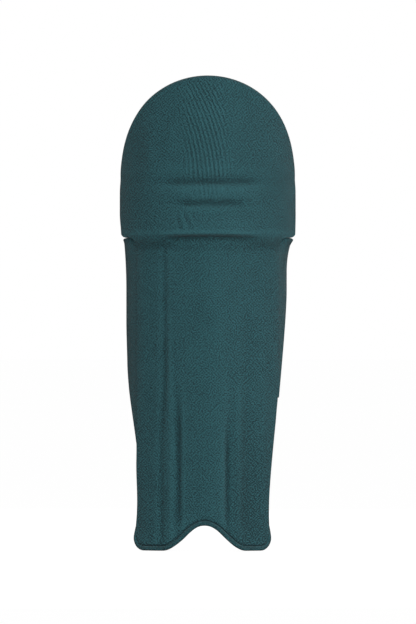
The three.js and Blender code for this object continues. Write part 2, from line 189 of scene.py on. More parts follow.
# The wings' tops, which fall towards the back to leave room for the knee's bend
WING_TOP = CREASES[0] - 4.1
KNEE_DROP = 0.047

STRAP_NAMES = ("knee", "calf", "ankle")
ANKLE_HALF_WIDTH = 72
KEEPER_TAILS = {"knee": 18, "calf": 27, "ankle": 18}
JOINTS = {joint["name"]: joint for joint in frame["joints"]}

AMBIENT = 0.29


def clip(value, low=0.0, high=1.0):
    return np.clip(value, low, high)


def ease(start, end, value):
    """0 up to `start`, 1 from `end`, and a smooth rise between them."""
    t = clip((value - start) / (end - start))
    return t * t * (3 - 2 * t)


def lerp(a, b, t):
    return a + (b - a) * t


def hump(value, centre, width):
    """1 at `centre`, falling away smoothly on both sides."""
    return np.exp(-(((value - centre) / width) ** 2))


def between(value, start, end, soft):
    """1 from `start` to `end` and 0 outside, with soft ends."""
    return ease(start - soft, start + soft, value) * (1 - ease(end - soft, end + soft, value))


# ---------------------------------------------------------------- the shell and its outlines

def narrowing(angle, height):
    """The pad's right side narrows towards the foot."""
    low = clip(1 - height / TAPER_HEIGHT)
    return np.where(angle > 0, 1 - TAPER_SHARE * np.sin(np.pi / 2 * low), 1.0)


def lean_back(height):
    """How far the top hat leans back."""
    return LEAN_DEPTH * clip((height - CREASES[2]) / (PAD_HEIGHT - CREASES[2])) ** 2


def bare_radius(height):
    """The radius of the knee's and the top hat's cover without its folds."""
    return lerp(KNEE_RADIUS, HAT_RADIUS, ease(525, 570, height))


def on_shell(angle, radius, height):
    """The place in space of an angle, radius and height."""
    turn = np.radians(angle * narrowing(angle, height))
    flare = FLARE_DEPTH * clip(1 - height / FLARE_HEIGHT) ** 2
    r = radius + flare - lean_back(height)
    return np.stack([r * np.sin(turn), SHELL_Y - r * np.cos(turn), height + 0 * r], -1)


def across(angle, height):
    """How far to the side a place on the cover is."""
    return on_shell(angle, SHIN_RADIUS, height)[..., 0]


def foot_shape(angle):
    """The foot: an arch over the instep between two lobes with round outer corners."""
    x = across(angle, 0 * angle)
    off = np.minimum(1, np.abs(x - ARCH_X) / ARCH_HALF_WIDTH)
    edge = np.abs(across(np.where(angle < 0, -1.0, 1.0) * SHIN_HALF_ANGLE, 0 * angle))
    past = clip((np.abs(x) - edge + FOOT_CORNER) / FOOT_CORNER)
    return ARCH_HEIGHT * np.cos(np.pi / 2 * off) ** 2 + FOOT_CORNER * (1 - np.sqrt(1 - past * past))


def foot(clear, angle):
    """The height of a line that keeps clear of the foot, measured square to its slope."""
    rise = foot_shape(angle + 0.5) - foot_shape(angle - 0.5)
    run = across(angle + 0.5, 0 * angle) - across(angle - 0.5, 0 * angle)
    return foot_shape(angle) + clear * np.hypot(1, clip(rise / run, -STEEPEST, STEEPEST))


def dome_line(share, inset=0.0):
    """The height of the top hat's outline, at a share of the half width from its middle."""
    rise = PAD_HEIGHT - inset - DOME_SPRING
    return DOME_SPRING + rise * np.maximum(0, 1 - share * share) ** (1 / DOME_POWER)


def drawn_out(height):
    """How much further round the shell a width reaches where the top hat leans back."""
    return KNEE_RADIUS / (bare_radius(height) - lean_back(height))


def dome_width(height, inset=EDGE_TURN):
    """The share of the half width that the top hat's outline has at a height."""
    up = clip((height - DOME_SPRING) / (PAD_HEIGHT - inset - DOME_SPRING))
    return np.sqrt(1 - up ** DOME_POWER)


def foot_behind(clear, angle, radius):
    """The height of the foot line straight behind itself, for a place at another radius."""
    x = on_shell(angle, radius, 0 * angle)[..., 0]
    turn = np.degrees(np.arcsin(x / (SHIN_RADIUS + FLARE_DEPTH)))
    return foot(clear, np.where(turn > 0, turn / (1 - TAPER_SHARE), turn))


def back_radius(height):
    """The radius of the hem, behind the shin, the knee and the top hat."""
    knee = lerp(SHIN_BACK, KNEE_BACK, ease(CREASES[0] - 12, CREASES[0] + 12, height))
    return lerp(knee, HAT_BACK, ease(CREASES[2] - 10, CREASES[2] + 14, height))


# ---------------------------------------------------------------- making meshes

def vertex_normals(points, faces):
    a, b, c, d = (points[faces[:, i]] for i in range(4))
    flat = np.cross(c - a, d - b)
    normals = np.zeros_like(points)
    for i in range(4):
        np.add.at(normals, faces[:, i], flat)
    return normals / np.maximum(np.linalg.norm(normals, axis=1, keepdims=True), 1e-9)


def grid_faces(ids, closed=False):
    """Quads over a grid of vertex numbers. A closed grid's last column joins its first."""
    if closed:
        ids = np.concatenate([ids, ids[:, :1]], axis=1)
    return np.stack([ids[:-1, :-1], ids[:-1, 1:], ids[1:, 1:], ids[1:, :-1]], -1).reshape(-1, 4)


def give(mesh, key, values):
    """Stores one number or vector for each point of a mesh, for its material to read."""
    values = np.asarray(values, np.float32)
    kind, field = ("FLOAT", "value") if values.ndim == 1 else ("FLOAT_VECTOR", "vector")
    mesh.attributes.new(key, kind, "POINT").data.foreach_set(field, values.ravel())


def linked(name, data):
    """A new object in the scene."""
    thing = bpy.data.objects.new(name, data)
    bpy.context.scene.collection.objects.link(thing)
    return thing


def belongs(piece, body, nodes, look):
    """Rides a piece on a body, in place of the frame's nodes that it stands for, with its finish."""
    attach(piece, body)
    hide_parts(*nodes)
    finish(piece, look)


def make_mesh(name, points, faces, normals=None, values=None, smooth=True):
    """A new object from points in millimetres. `values` holds one number or vector per point by name."""
    mesh = bpy.data.meshes.new(name)
    mesh.from_pydata((points * MM).tolist(), [], [list(face) for face in faces])
    mesh.validate()
    if smooth:
        mesh.shade_smooth()
    if normals is not None:
        mesh.normals_split_custom_set_from_vertices(normals.tolist())
    for key, value in (values or {}).items():
        give(mesh, key, value)
    return linked(name, mesh)


def rim_edges(faces):
    """The edges that only one face has, in that face's own direction."""
    edges = np.concatenate([faces[:, [i, (i + 1) % 4]] for i in range(4)])
    keys = np.sort(edges, axis=1)
    _, first, count = np.unique(keys, axis=0, return_index=True, return_counts=True)
    return edges[first[count == 1]]


def thicken(name, sheet, chosen=None):
    """A closed piece from a sheet: its outside, its inside at each point's own thickness, and the rim."""
    faces = sheet["faces"] if chosen is None else sheet["faces"][chosen]
    points, normals = sheet["points"], sheet["normals"]
    count = len(points)
    inner = points - normals * np.reshape(sheet["thickness"], (-1, 1))
    rim = rim_edges(faces)
    sides = np.stack([rim[:, 1], rim[:, 0], rim[:, 0] + count, rim[:, 1] + count], -1)
    all_faces = np.concatenate([faces, faces[:, ::-1] + count, sides])
    used, renumbered = np.unique(all_faces, return_inverse=True)
    values = {key: np.concatenate([v, v])[used] for key, v in sheet["values"].items()}
    both = np.concatenate([points, inner])[used]
    facing = np.concatenate([normals, -normals])[used]
    return make_mesh(name, both, renumbered.reshape(-1, 4), facing, values)


# ---------------------------------------------------------------- a cover that wraps round its edge

def along_loop(line):
    """How far each point of a closed line is along it, and how much of its length each one stands for."""
    step = np.linalg.norm(np.roll(line, -1, axis=0) - line, axis=1)
    at = np.concatenate([[0], np.cumsum(step)[:-1]])
    return at, step.sum(), (step + np.roll(step, 1)) / 2


def soften(values, line, spread):
    """Values averaged along a closed line, over about `spread` millimetres each way."""
    at, total, share = along_loop(line)
    apart = np.abs(at[:, None] - at[None, :])
    apart = np.minimum(apart, total - apart)
    weight = np.exp(-0.5 * (apart / np.reshape(spread, (-1, 1))) ** 2) * (share + 1e-6)
    return (weight @ values) / weight.sum(axis=1, keepdims=True)


def unit(vectors):
    """The same directions, each of length 1."""
    return vectors / np.maximum(np.linalg.norm(vectors, axis=-1, keepdims=True), 1e-9)


def stretched(turn):
    """Distances round a shell of radius 1, for a knit that is stretched more towards the sides."""
    middle = clip(turn, -45, 45)
    return np.sin(np.radians(middle)) + math.sqrt(0.5) * np.radians(turn - middle)


def wrapped(angle, height, place, front, back, edge):
    """A sheet over the grid `angle` by `height` that turns round its edge and ends in a rolled hem.

    `place` puts an angle, radius and height in space, `front` is the radius of the face and `back` that of
    the hem. `edge` gives, for places on the outline: round (the radius its edge turns at), hem (how far it
    is turned under), draft (how fast the wall leans in), pinch (how far the wall is drawn in halfway) and
    stepped (1 where the hem is turned straight sideways, past a step in the outline).
    """
    inner_turn, settling, bead_width, bead_height = 3.5, 12, 4.5, 1.7
    rows, columns = angle.shape
    ids = np.arange(rows * columns).reshape(rows, columns)
    loop = np.concatenate([ids[0, :-1], ids[:-1, -1], ids[-1, :0:-1], ids[:0:-1, 0]])
    row_of = np.repeat(np.arange(rows), columns)[loop]
    face = front(angle, height)
    flat_angle, flat_height, flat_face = angle.ravel(), height.ravel(), face.ravel()
    scale = np.radians(1.0) * flat_face[loop]
    line = np.stack([flat_angle[loop] * scale, flat_height[loop]], -1)
    tangent = unit(np.roll(line, -1, axis=0) - np.roll(line, 1, axis=0))
    outward = unit(soften(np.stack([tangent[:, 1], -tangent[:, 0]], -1), line, 1.5))
    settled = unit(soften(outward, line, settling))

    at, _, _ = along_loop(line)
    radius = flat_face[loop]
    made = edge(flat_angle[loop], flat_height[loop], outward)
    turn, draft = made["round"], made["draft"]
    sideways = np.stack([np.sign(line[:, 0]), 0 * line[:, 0]], -1)
    stepped = made["stepped"][:, None]
    settled = unit(lerp(settled, sideways, stepped))
    # The hem is narrower where the piece itself is narrow, so that hems from two sides never meet
    gap = np.linalg.norm(line[:, None] - line[None], axis=-1)
    facing_away = outward @ outward.T > -0.3
    gap[facing_away] = np.inf
    under = np.minimum(made["hem"], 0.4 * gap.min(axis=1))
    smoothing = 4 + 0.45 * soften(under[:, None], line, settling)[:, 0]
    hem_line = soften(line - settled * under[:, None], line, smoothing)
    depth = radius - back(flat_height[loop])

    # Each ring is a line round the edge: how far out from the outline, how deep, and how far along the
    # cloth. The face turns into a wall, the wall into a hem, and the hem ends in a bead.
    rings = []

    def ring(flat, deep, travelled, thickness=CLOTH):
        rings.append((flat, deep, travelled, np.broadcast_to(thickness, deep.shape)))

    for t in np.linspace(0, 1, 8)[1:]:
        bend = t * QUARTER
        out = turn * np.sin(bend)
        ring(line + outward * out[:, None], turn * (1 - np.cos(bend)), turn * bend)
    wall = depth - turn - inner_turn
    for t in np.linspace(0, 1, 9)[1:]:
        out = turn - draft * wall * t - made["pinch"] * np.sin(np.pi * t)
        ring(line + outward * out[:, None], turn + wall * t, turn * QUARTER + wall * t)
    walked = turn * QUARTER + wall
    edge_out = turn - draft * wall
    for t in np.linspace(0, 1, 6)[1:]:
        bend = t * QUARTER
        out = edge_out - inner_turn * (1 - np.cos(bend))
        deep = depth - inner_turn + inner_turn * np.sin(bend)
        ring(line + outward * out[:, None], deep, walked + inner_turn * bend)
    walked = walked + inner_turn * QUARTER
    start = line + outward * (edge_out - inner_turn)[:, None]

    # The hem gathers in small ripples where its inner line is shorter than the outline
    ripple = 0.45 * (np.sin(2 * np.pi * at / 8.5) + 0.5 * np.sin(2 * np.pi * at / 5.3 + 1.0))
    crowding = np.linalg.norm(np.roll(hem_line, -1, axis=0) - np.roll(hem_line, 1, axis=0), axis=1)
    crowding = crowding / np.linalg.norm(np.roll(line, -1, axis=0) - np.roll(line, 1, axis=0), axis=1)
    gathers = ripple * clip(under / 15) * ease(0.3, 0.7, crowding)
    for t in np.linspace(0, 1, 9)[1:]:
        ring(lerp(start, hem_line, t), depth + gathers * t, walked + under * t)
    for t in np.linspace(0, 1, 7)[1:]:
        bead = bead_height * np.sqrt(np.maximum(0, 1 - (2 * t - 1) ** 2))
        over_bead = bead_width * t
        flat = hem_line - settled * over_bead
        ring(flat, depth + gathers + bead, walked + under + over_bead, CLOTH + bead)

    points = [place(flat_angle, flat_face, flat_height)]
    turned = flat_angle * narrowing(flat_angle, flat_height) if place is on_shell else flat_angle - 90
    cloth = [np.stack([stretched(turned) * flat_face, flat_height, 0 * flat_height], -1)]
    home = cloth[0][loop]
    thickness = [np.full(rows * columns, CLOTH)]
    seam = [np.full(rows * columns, NO_SEAM)]
    ring_ids = [loop]
    for number, (flat, deep, travelled, thick) in enumerate(rings):
        ring_ids.append(rows * columns + number * len(loop) + np.arange(len(loop)))
        past = deep > depth - 1e-6
        rim_radius = np.where(past, back(flat[:, 1]) - (deep - depth), radius - deep)
        points.append(place(flat[:, 0] / scale, rim_radius, flat[:, 1]))
        step = np.concatenate([settled * travelled[:, None], np.zeros((len(loop), 1))], axis=1)
        cloth.append(home + step)
        thickness.append(thick)
        seam.append(walked + under - travelled)
    ring_ids = np.array(ring_ids)
    wrap_faces = grid_faces(ring_ids, closed=True)
    segment_row = np.minimum(row_of, np.roll(row_of, -1))
    face_rows = [np.repeat(np.arange(rows - 1), columns - 1), np.tile(segment_row, len(rings))]
    faces = np.concatenate([grid_faces(ids), wrap_faces[:, ::-1]])
    points = np.concatenate(points)
    return {
        "points": points,
        "faces": faces,
        "normals": vertex_normals(points, faces),
        "thickness": np.concatenate(thickness),
        "values": {"cloth": np.concatenate(cloth), "hem": np.concatenate(seam)},
        "face_rows": np.concatenate(face_rows),
        "loop": (line, outward, scale, radius),
    }


# ---------------------------------------------------------------- the main cover

def knee_half_angle(turn=EDGE_TURN):
    """How far round the shell the knee's face reaches, before its edge turns."""
    return np.degrees(math.asin((KNEE_HALF_WIDTH + WIDEN) / KNEE_RADIUS) - turn / KNEE_RADIUS)


def edge_turn(angle, height):
    """The radius that the shin's edge turns at: tight where a wing joins it, and full below that."""
    low = np.where(angle < 0, WINGS["left"][1], WINGS["right"][1])
    free = 1 - ease(low - 25, low + 5, height)
    shin = lerp(1.4, 4.5, free)
    corner = lerp(shin, 2.4, ease(SHOULDER["from"] - 4, SHOULDER["from"] + 2, height))
    return lerp(corner, EDGE_TURN, ease(SHOULDER["from"] + SHOULDER["rise"], DOME_SPRING - 8, height))


def cover_radius(angle, height):
    """The radius of the cover's face, with the shin's ribs and the knee's rolls and folds."""
    x = across(angle, height)
    relief = 0 * x
    drift = DRIFT * ease(250, 150, height)
    for place, width, depth, low, high in SHIN_RELIEF:
        moved = x + drift * (place < DRIFTS_BEYOND)
        relief = relief + depth * hump(moved, place, width) * between(height, low, high, 38)
    # A raised panel down the lower middle, and a dip just over the foot's arch
    panel = between(x, -38, 27, 5) * between(height, 20, 235, 35)
    over_arch = hump(height - foot_shape(angle), 5, 10) * between(x, -48, 40, 10)
    shin = SHIN_RADIUS + relief + 1.0 * panel - 2.4 * over_arch

    # The deepest fold is sharp below and soft above
    knee = bare_radius(height)
    reach = between(x, *KNEE_REACH)
    deepest = CREASES[2] - 2
    fold = hump(height, deepest, np.where(height > deepest, 12, 5.5))
    knee = knee - 5.6 * reach * fold - 0.7 * (1 - reach) * hump(height, CREASES[2], 9)
    for depth, run, level, width in KNEE_FOLDS:
        knee = knee + depth * between(x, *run) * hump(height, level, width)
    for depth, place, width, level, tall in HAT_RELIEF:
        knee = knee + depth * hump(x, place, width) * hump(height, level, tall)

    # The step in from the lower bolster to the shin: a sharp edge in the middle, a slope at the sides
    level = height + 2.2 * (x / 80) ** 2
    under_bolster = lerp(1 - ease(430, 450, level), 1 - ease(448, 454, level), 9 / 13)
    at_side = 1 - ease(434, 459, level)
    return lerp(knee, shin, lerp(at_side, under_bolster, between(x, -50, 56, 22)))


def cover_grid():
    """The angles and heights of the cover's face, and its rows' numbers at the two cuts."""
    shin_count, knee_count, steep_count, dome_count = 172, 19, 22, 62
    s = np.linspace(-1, 1, FRONT_COLUMNS)
    u = 1.22 * s - 0.22 * s ** 3

    # The heights: close together where the cover steps out from the shin to the knee
    share = np.linspace(0, 1, SHOULDER["rows"])
    swing = SHOULDER["level"] * np.sin(2 * np.pi * share) / (2 * np.pi)
    shoulder = SHOULDER["from"] + SHOULDER["rise"] * (share + swing)
    spread = ease(0, 1, share)
    shin_rows = np.linspace(0, SHOULDER["from"], shin_count)[:-1]
    knee_rows = np.linspace(shoulder[-1], DOME_SPRING, knee_count)[1:]
    rise = np.concatenate([shin_rows, shoulder, knee_rows])
    excess = np.concatenate([0 * shin_rows, spread, 0 * knee_rows + 1])

    # The angles: the columns are upright up to `steady`, and bunch towards the cover's own edge past it.
    # The knee's face is tucked in a little towards the shoulder.
    side = np.sign(u)
    steady = 52.0
    low = np.where(side < 0, WINGS["left"][1], WINGS["right"][1])
    free = 1 - ease(low - 25, low + 5, rise[:, None])
    shin_side = SHIN_HALF_ANGLE + 1.3 * free - np.degrees(edge_turn(side, rise[:, None]) / SHIN_RADIUS)
    tuck = np.where(side < 0, 3.2, 1.6) * (1 - ease(452, 484, rise[:, None]))
    knee_side = knee_half_angle(edge_turn(side, rise[:, None])) - tuck
    edge = lerp(shin_side, knee_side, excess[:, None])
    angle = side * (steady * np.abs(u) + (edge - steady) * np.abs(u) ** 6)
    lift = clip(1 - rise / 110) ** 1.3
    height = rise[:, None] + foot(COVER_FOOT, angle) * lift[:, None]

    # The dome: straight rows up its steep sides, then a square of rows and columns drawn out under its top
    half = np.sin(np.radians(knee_half_angle()))
    steep = np.linspace(DOME_SPRING, DOME_STEEP, steep_count)[1:, None]
    share = np.sin(np.radians(angle[-1])) / half
    steep_angle = np.degrees(np.arcsin(share * half * dome_width(steep) * drawn_out(steep)))
    w = np.linspace(0, 1, dome_count)[1:, None] ** 0.8
    over = share * np.sqrt(1 - w * w / 2)
    up = w * np.sqrt(1 - share * share / 2)
    reach = over * dome_width(DOME_STEEP)
    rise_share = up / np.sqrt(np.maximum(1 - over * over, 1e-9))
    dome_height = lerp(DOME_STEEP, dome_line(reach, EDGE_TURN + 0.8), rise_share)
    dome_angle = np.degrees(np.arcsin(clip(reach * half * drawn_out(dome_height), -1, 1)))
    angle = np.concatenate([angle, steep_angle, dome_angle])
    height = np.concatenate([height, steep + 0 * steep_angle, dome_height])
    middle = height[:, FRONT_COLUMNS // 2]
    cuts = [int(np.searchsorted(middle, cut)) for cut in CUTS]
    return angle, height, cuts


def cover_edge(angle, height, outward):
    """How the cover's edge turns: tight beside the wings, and leaning back along the foot."""
    at_foot = clip(-outward[:, 1] * 2) * (1 - ease(60, 90, height))
    turn = lerp(edge_turn(angle, height), 3.2, at_foot)
    return {
        "round": turn,
        "hem": lerp(9.0, 27.0, ease(25, 85, height)),
        "draft": 0.42 * at_foot * np.abs(outward[:, 0]),
        "pinch": 0.5 + 0 * turn,
        "stepped": between(height, SHOULDER["from"] - 14, SHOULDER["from"] + 26, 10),
    }


def bend_over(piece, crease, nodes, look):
    """Puts a piece in place of the frame's nodes it stands for, with its finish. The span of FOLD_REACH
    about its crease is worked out, but the piece is not bent.
    """
    start, end = ((0, 0, (CREASES[crease] + reach) * MM) for reach in (-FOLD_REACH, FOLD_REACH))
    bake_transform(piece)
    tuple(start)
    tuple(end)
    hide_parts(*nodes)
    finish(piece, look)


def make_cover():
    """The whole cover, cut into one piece for each crease of the knee. The pieces meet without a seam."""
    angle, height, (first_cut, second_cut) = cover_grid()
    sheet = wrapped(angle, height, on_shell, cover_radius, back_radius, cover_edge)
    add_rib_lines(sheet)
    add_painted_fold_shade(sheet, angle, height)
    rows = sheet["face_rows"]
    spans = [
        ("cover_shin_and_knee", rows < first_cut, 0, ["cover_shin"]),
        ("cover_knee", (rows >= first_cut) & (rows < second_cut), 1,
         ["cover_knee_lower", "cover_knee_upper"]),
        ("cover_knee_and_top_hat", rows >= second_cut, 2, ["cover_top_hat"]),
    ]
    for name, chosen, crease, nodes in spans:
        bend_over(thicken(name, sheet, chosen), crease, nodes, "knit")
    return sheet


def add_painted_fold_shade(sheet, angle, height):
    """How much painted shade each place on the cover gets: 1 deep in a fold, and below 0 on a ridge, where
    it is a painted highlight. A broad patch at the lower right and the edge along the foot get painted
    shade too.
    """
    reach, deep, rings_in_seam = 8, 2.2, 8
    # The fold value is painted shade in the folds and a painted highlight on the ridges, not a colour of
    # the knit
    directions = np.radians(np.arange(0, 360, 45))
    around = 0
    for turn in directions:
        aside = np.degrees(reach * np.cos(turn) / KNEE_RADIUS)
        around = around + cover_radius(angle + aside, height + reach * np.sin(turn)) / len(directions)
    fold = np.zeros(len(sheet["points"]))
    fold[:angle.size] = clip((around - cover_radius(angle, height)) / deep, -0.8, 1).ravel()
    # Painted shade: a broad darker patch over the lower right of the shin, where the cloth has no fold of
    # its own
    painted_shade_lower_right = 0.42 * between(across(angle, height), 30, 84, 10) * (1 - ease(90, 230, height))
    fold[:angle.size] += painted_shade_lower_right.ravel()
    # Painted shade on the first rings of the edge, where it turns under along the foot
    line, outward, _, _ = sheet["loop"]
    seam = clip(-outward[:, 1] * 2) * (line[:, 1] < 60)
    fold[angle.size:angle.size + rings_in_seam * len(line)] = np.tile(seam, rings_in_seam)
    sheet["values"]["fold"] = fold


def add_rib_lines(sheet):
    """The fine vertical lines that show where the knit is stretched over the knee and top hat."""
    x, height = sheet["points"][:, 0], sheet["points"][:, 2]
    above = height - 535
    slant = 0.06 * above + 0.0018 * above * np.abs(above)
    slant = slant + 0.006 * np.minimum(0, x + 12) * np.minimum(0, height - 558)
    spacing = 5.9
    hat = between(x + 0.04 * (height - 600), -35, 25, 13) * between(height, 531, 668, 9)
    bolster = 0.7 * between(x, -20, 20, 12) * between(height, 506, 524, 5)
    lower = 0.8 * between(x, -48, -20, 9) * between(height, 459, 482, 7)
    sheet["values"]["rib_line"] = (x + slant) / spacing
    sheet["values"]["rib_strength"] = np.maximum(hat, np.maximum(bolster, lower))


# ---------------------------------------------------------------- linings

def quilting(angle, height, radius):
    """How far a quilted lining puffs up between its crossed rows of stitches."""
    round_pad = np.radians(angle) * radius
    rising = np.abs(np.sin(np.pi * (round_pad + height) / QUILT))
    falling = np.abs(np.sin(np.pi * (round_pad - height) / QUILT))
    return (rising * falling) ** 0.45


def plain_sheet(points, cloth, thickness):
    """A sheet over a grid of points, whose outside is on the side that its rows turn towards."""
    rows, columns = points.shape[:2]
    faces = grid_faces(np.arange(rows * columns).reshape(rows, columns))[:, ::-1]
    flat = points.reshape(-1, 3)
    row = np.repeat(np.arange(rows - 1), columns - 1)
    return {
        "points": flat,
        "faces": faces,
        "normals": vertex_normals(flat, faces),
        "thickness": np.full(len(flat), thickness),
        "values": {"cloth": cloth.reshape(-1, 3)},
        "face_rows": row,
    }


def make_lining():
    """The quilted lining behind the shin, knee and top hat, with a stitched fold at each crease."""
    u = np.linspace(-1, 1, 89)
    rows_over = [(0, 446, 122), (447, 465, 17), (468, 514, 14)]
    straight = np.concatenate([np.linspace(*span) for span in rows_over])
    dome = np.linspace(0, 1, 54)[1:, None]
    side = lerp(48.0, 60.5, ease(CREASES[0] - 3, CREASES[0] + 9, straight))[:, None]
    low_angle = side * u
    lift = clip(1 - straight / 110)[:, None] ** 1.3
    low_height = straight[:, None] + foot_behind(9.5, low_angle, SHIN_BACK) * lift
    half = np.sin(math.asin((KNEE_HALF_WIDTH + WIDEN) / KNEE_RADIUS))
    top = low_angle[-1]
    line = dome_line(np.sin(np.radians(top)) / half, 12.0)
    angle = np.concatenate([low_angle, top + 0 * dome])
    height = np.concatenate([low_height, lerp(straight[-1], line, dome)])

    flat = np.stack([np.radians(angle) * KNEE_RADIUS, height], -1)
    outline = np.concatenate([flat[0], flat[:, -1], flat[-1], flat[:, 0]])
    inside = np.linalg.norm(flat[:, :, None] - outline[None, None, ::2], axis=-1).min(axis=2)
    puff = 2.0 * quilting(angle, height, 100) * ease(19, 28, inside)
    fold = sum(hump(height, crease, 3.2) for crease in CREASES)
    radius = back_radius(height) + LINING_CLEAR - puff + 3.0 * fold
    points = on_shell(angle, radius, height)
    cloth = np.stack([np.radians(angle) * 100, height, 0 * height], -1)
    sheet = plain_sheet(points, cloth, 4.5)
    rows = sheet["face_rows"]
    first, second = (int(np.searchsorted(height[:, len(u) // 2], cut)) for cut in CUTS)
    spans = [
        ("lining_shin_and_knee", rows < first, ["shin_lining", "knee_lining_lower"]),
        ("lining_knee", (rows >= first) & (rows < second), ["knee_lining_upper"]),
        ("lining_knee_and_top_hat", rows >= second, ["top_hat_lining"]),
    ]
    for crease, (name, chosen, nodes) in enumerate(spans):
        bend_over(thicken(name, sheet, chosen), crease, nodes, "quilted")


# ---------------------------------------------------------------- cushions

def rounded_box(columns=56, rows=36, sharp=0.55):
    """Points over a closed rounded box from -1 to 1 each way, as rings between two poles."""
    turn = np.linspace(0, 2 * np.pi, columns, endpoint=False)[None, :]
    tilt = np.linspace(-np.pi / 2, np.pi / 2, rows + 2)[1:-1, None]

    def drawn(value):
        return np.sign(value) * np.abs(value) ** sharp

    ring = drawn(np.cos(tilt))
    x, y, z = ring * drawn(np.cos(turn)), drawn(np.sin(tilt)) + 0 * turn, ring * drawn(np.sin(turn))
    ids = np.arange(x.size).reshape(x.shape)
    faces = [list(face) for face in grid_faces(ids, closed=True)]
    faces += [list(ids[0, ::-1]), list(ids[-1])]
    return np.stack([x, y, z], -1).reshape(-1, 3), faces


def applied(piece):
    """Replaces a piece's mesh by what its modifiers make of it, and clears them."""
    shown = piece.evaluated_get(bpy.context.evaluated_depsgraph_get())
    mesh = bpy.data.meshes.new_from_object(shown)
    piece.modifiers.clear()
    piece.data = mesh


def mesh_points(mesh):
    flat = np.zeros(len(mesh.vertices) * 3, np.float32)
    mesh.vertices.foreach_get("co", flat)
    return flat.reshape(-1, 3).astype(float) / MM


def set_points(mesh, points):
    mesh.vertices.foreach_set("co", (points * MM).astype(np.float32).ravel())
    mesh.update()


def remeshed(piece, voxel):
    fine = piece.modifiers.new("voxels", "REMESH")
    fine.mode = "VOXEL"
    fine.voxel_size = voxel * MM
    fine.use_smooth_shade = True
    applied(piece)


def inflate(piece, held, most):
    """Fills a cushion by cloth simulation. `held` says which points are sewn down, and no point moves more
    than `most`."""
    start = mesh_points(piece.data)
    group = piece.vertex_groups.new(name="sewn")
    group.add([int(i) for i in np.flatnonzero(held(start))], 1.0, "REPLACE")
    cloth = piece.modifiers.new("cloth", "CLOTH")
    cloth.settings.quality = 6
    cloth.settings.mass = 0.3
    cloth.settings.tension_stiffness = 12
    cloth.settings.compression_stiffness = 12
    cloth.settings.bending_stiffness = 0.6
    cloth.settings.use_pressure = True
    cloth.settings.uniform_pressure_force = 4
    cloth.settings.effector_weights.gravity = 0
    cloth.settings.vertex_group_mass = "sewn"
    cloth.point_cache.frame_start = 1
    cloth.point_cache.frame_end = 20
    for step in range(1, 21):
        bpy.context.scene.frame_set(step)
    applied(piece)
    bpy.context.scene.frame_set(1)
    moved = mesh_points(piece.data) - start
    far = np.linalg.norm(moved, axis=1, keepdims=True)
    set_points(piece.data, start + moved * np.minimum(1, most / np.maximum(far, 1e-6)))
    piece.vertex_groups.clear()


def make_cushion(name, middle, half, body, channels):
    """A padded cushion sewn to the lining. `middle` is its middle's angle and height, `half` its half width
    and half height, and `channels` the places along its length where it is stitched through."""
    angle, height = middle
    tall = half[1] > half[0]
    box, faces = rounded_box()
    back = back_radius(height) + LINING_CLEAR - 0.6
    thick = CUSHION_DEPTH[body]

    def place(unit_points):
        turned = angle + np.degrees(unit_points[:, 0] * half[0] / back)
        out = back - thick / 2 * (1 + unit_points[:, 2])
        return on_shell(turned, out, height + unit_points[:, 1] * half[1])

    piece = make_mesh(name + "_cushion", place(box), faces)
    remeshed(piece, 4)
    def on_lining(points):
        out = np.hypot(points[:, 0], points[:, 1] - SHELL_Y)
        return out > back - 2.5
    inflate(piece, on_lining, 6)
    # One subdivision, and then the stitched channels
    rounding = piece.modifiers.new("rounding", "SUBSURF")
    rounding.levels = rounding.render_levels = 1
    applied(piece)

    points = mesh_points(piece.data)
    inward = np.stack([-points[:, 0], SHELL_Y - points[:, 1], 0 * points[:, 0]], -1)
    out = np.linalg.norm(inward, axis=1, keepdims=True)
    round_pad = np.degrees(np.arctan2(points[:, 0], SHELL_Y - points[:, 1]))
    along, width = (points[:, 2], 4.0) if tall else (round_pad, 2.6)
    sunk = sum(hump(along, at, width) for at in channels)
    front = clip((back - out[:, 0]) / thick)
    set_points(piece.data, points - inward / out * (4.0 * sunk * front)[:, None])
    piece.data.shade_smooth()
    belongs(piece, body, [name], "cushion_mesh")


def make_cushions():
    """The two upright bolsters behind the shin and the pads behind the two knee rolls."""
    for side, angle in (("left", -25), ("right", 25)):
        low, high = (corner[2] for corner in corners(f"shin_bolster_{side}"))
        channels = [lerp(low, high, share) for share in (0.2, 0.4, 0.6, 0.8)]
        size = (12, (high - low) / 2 - 2)
        make_cushion(f"shin_bolster_{side}", (angle, (low + high) / 2), size, "shin", channels)
    for level in ("lower", "upper"):
        low, high = (corner[2] for corner in corners(f"knee_pad_{level}"))
        size = (66, (high - low) / 2 - 1.5)
        make_cushion(f"knee_pad_{level}", (0, (low + high) / 2), size, f"knee_{level}", (-22, 0, 22))


# ---------------------------------------------------------------- padding inside the covers

def under_cover(points, clear):
    """Points drawn in where they would stand out of the cover."""
    x, y, height = points.T
    turn = np.degrees(np.arctan2(x, SHELL_Y - y))
    angle = turn / narrowing(turn, height)
    limit = np.linalg.norm((on_shell(angle, cover_radius(angle, height) - clear, height)
                            - [0, SHELL_Y, 0])[:, :2], axis=1)
    out = np.hypot(x, y - SHELL_Y)
    share = np.minimum(1, limit / out)
    height = np.maximum(height, foot_behind(COVER_FOOT + 1.5, angle, SHIN_BACK + 0 * angle))
    return np.stack([x * share, SHELL_Y + (y - SHELL_Y) * share, height], -1)


def body_of(node):
    return frame["nodes"][node]["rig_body"]


def softened_copy(node, name, voxel, rounds):
    """A copy of one of the frame's solids, with its edges and corners rounded off."""
    piece = linked(name, frame["nodes"][node].data.copy())
    remeshed(piece, voxel)
    smooth = piece.modifiers.new("smooth", "SMOOTH")
    smooth.factor, smooth.iterations = 0.5, rounds
    applied(piece)
    piece.data.shade_smooth()
    return piece


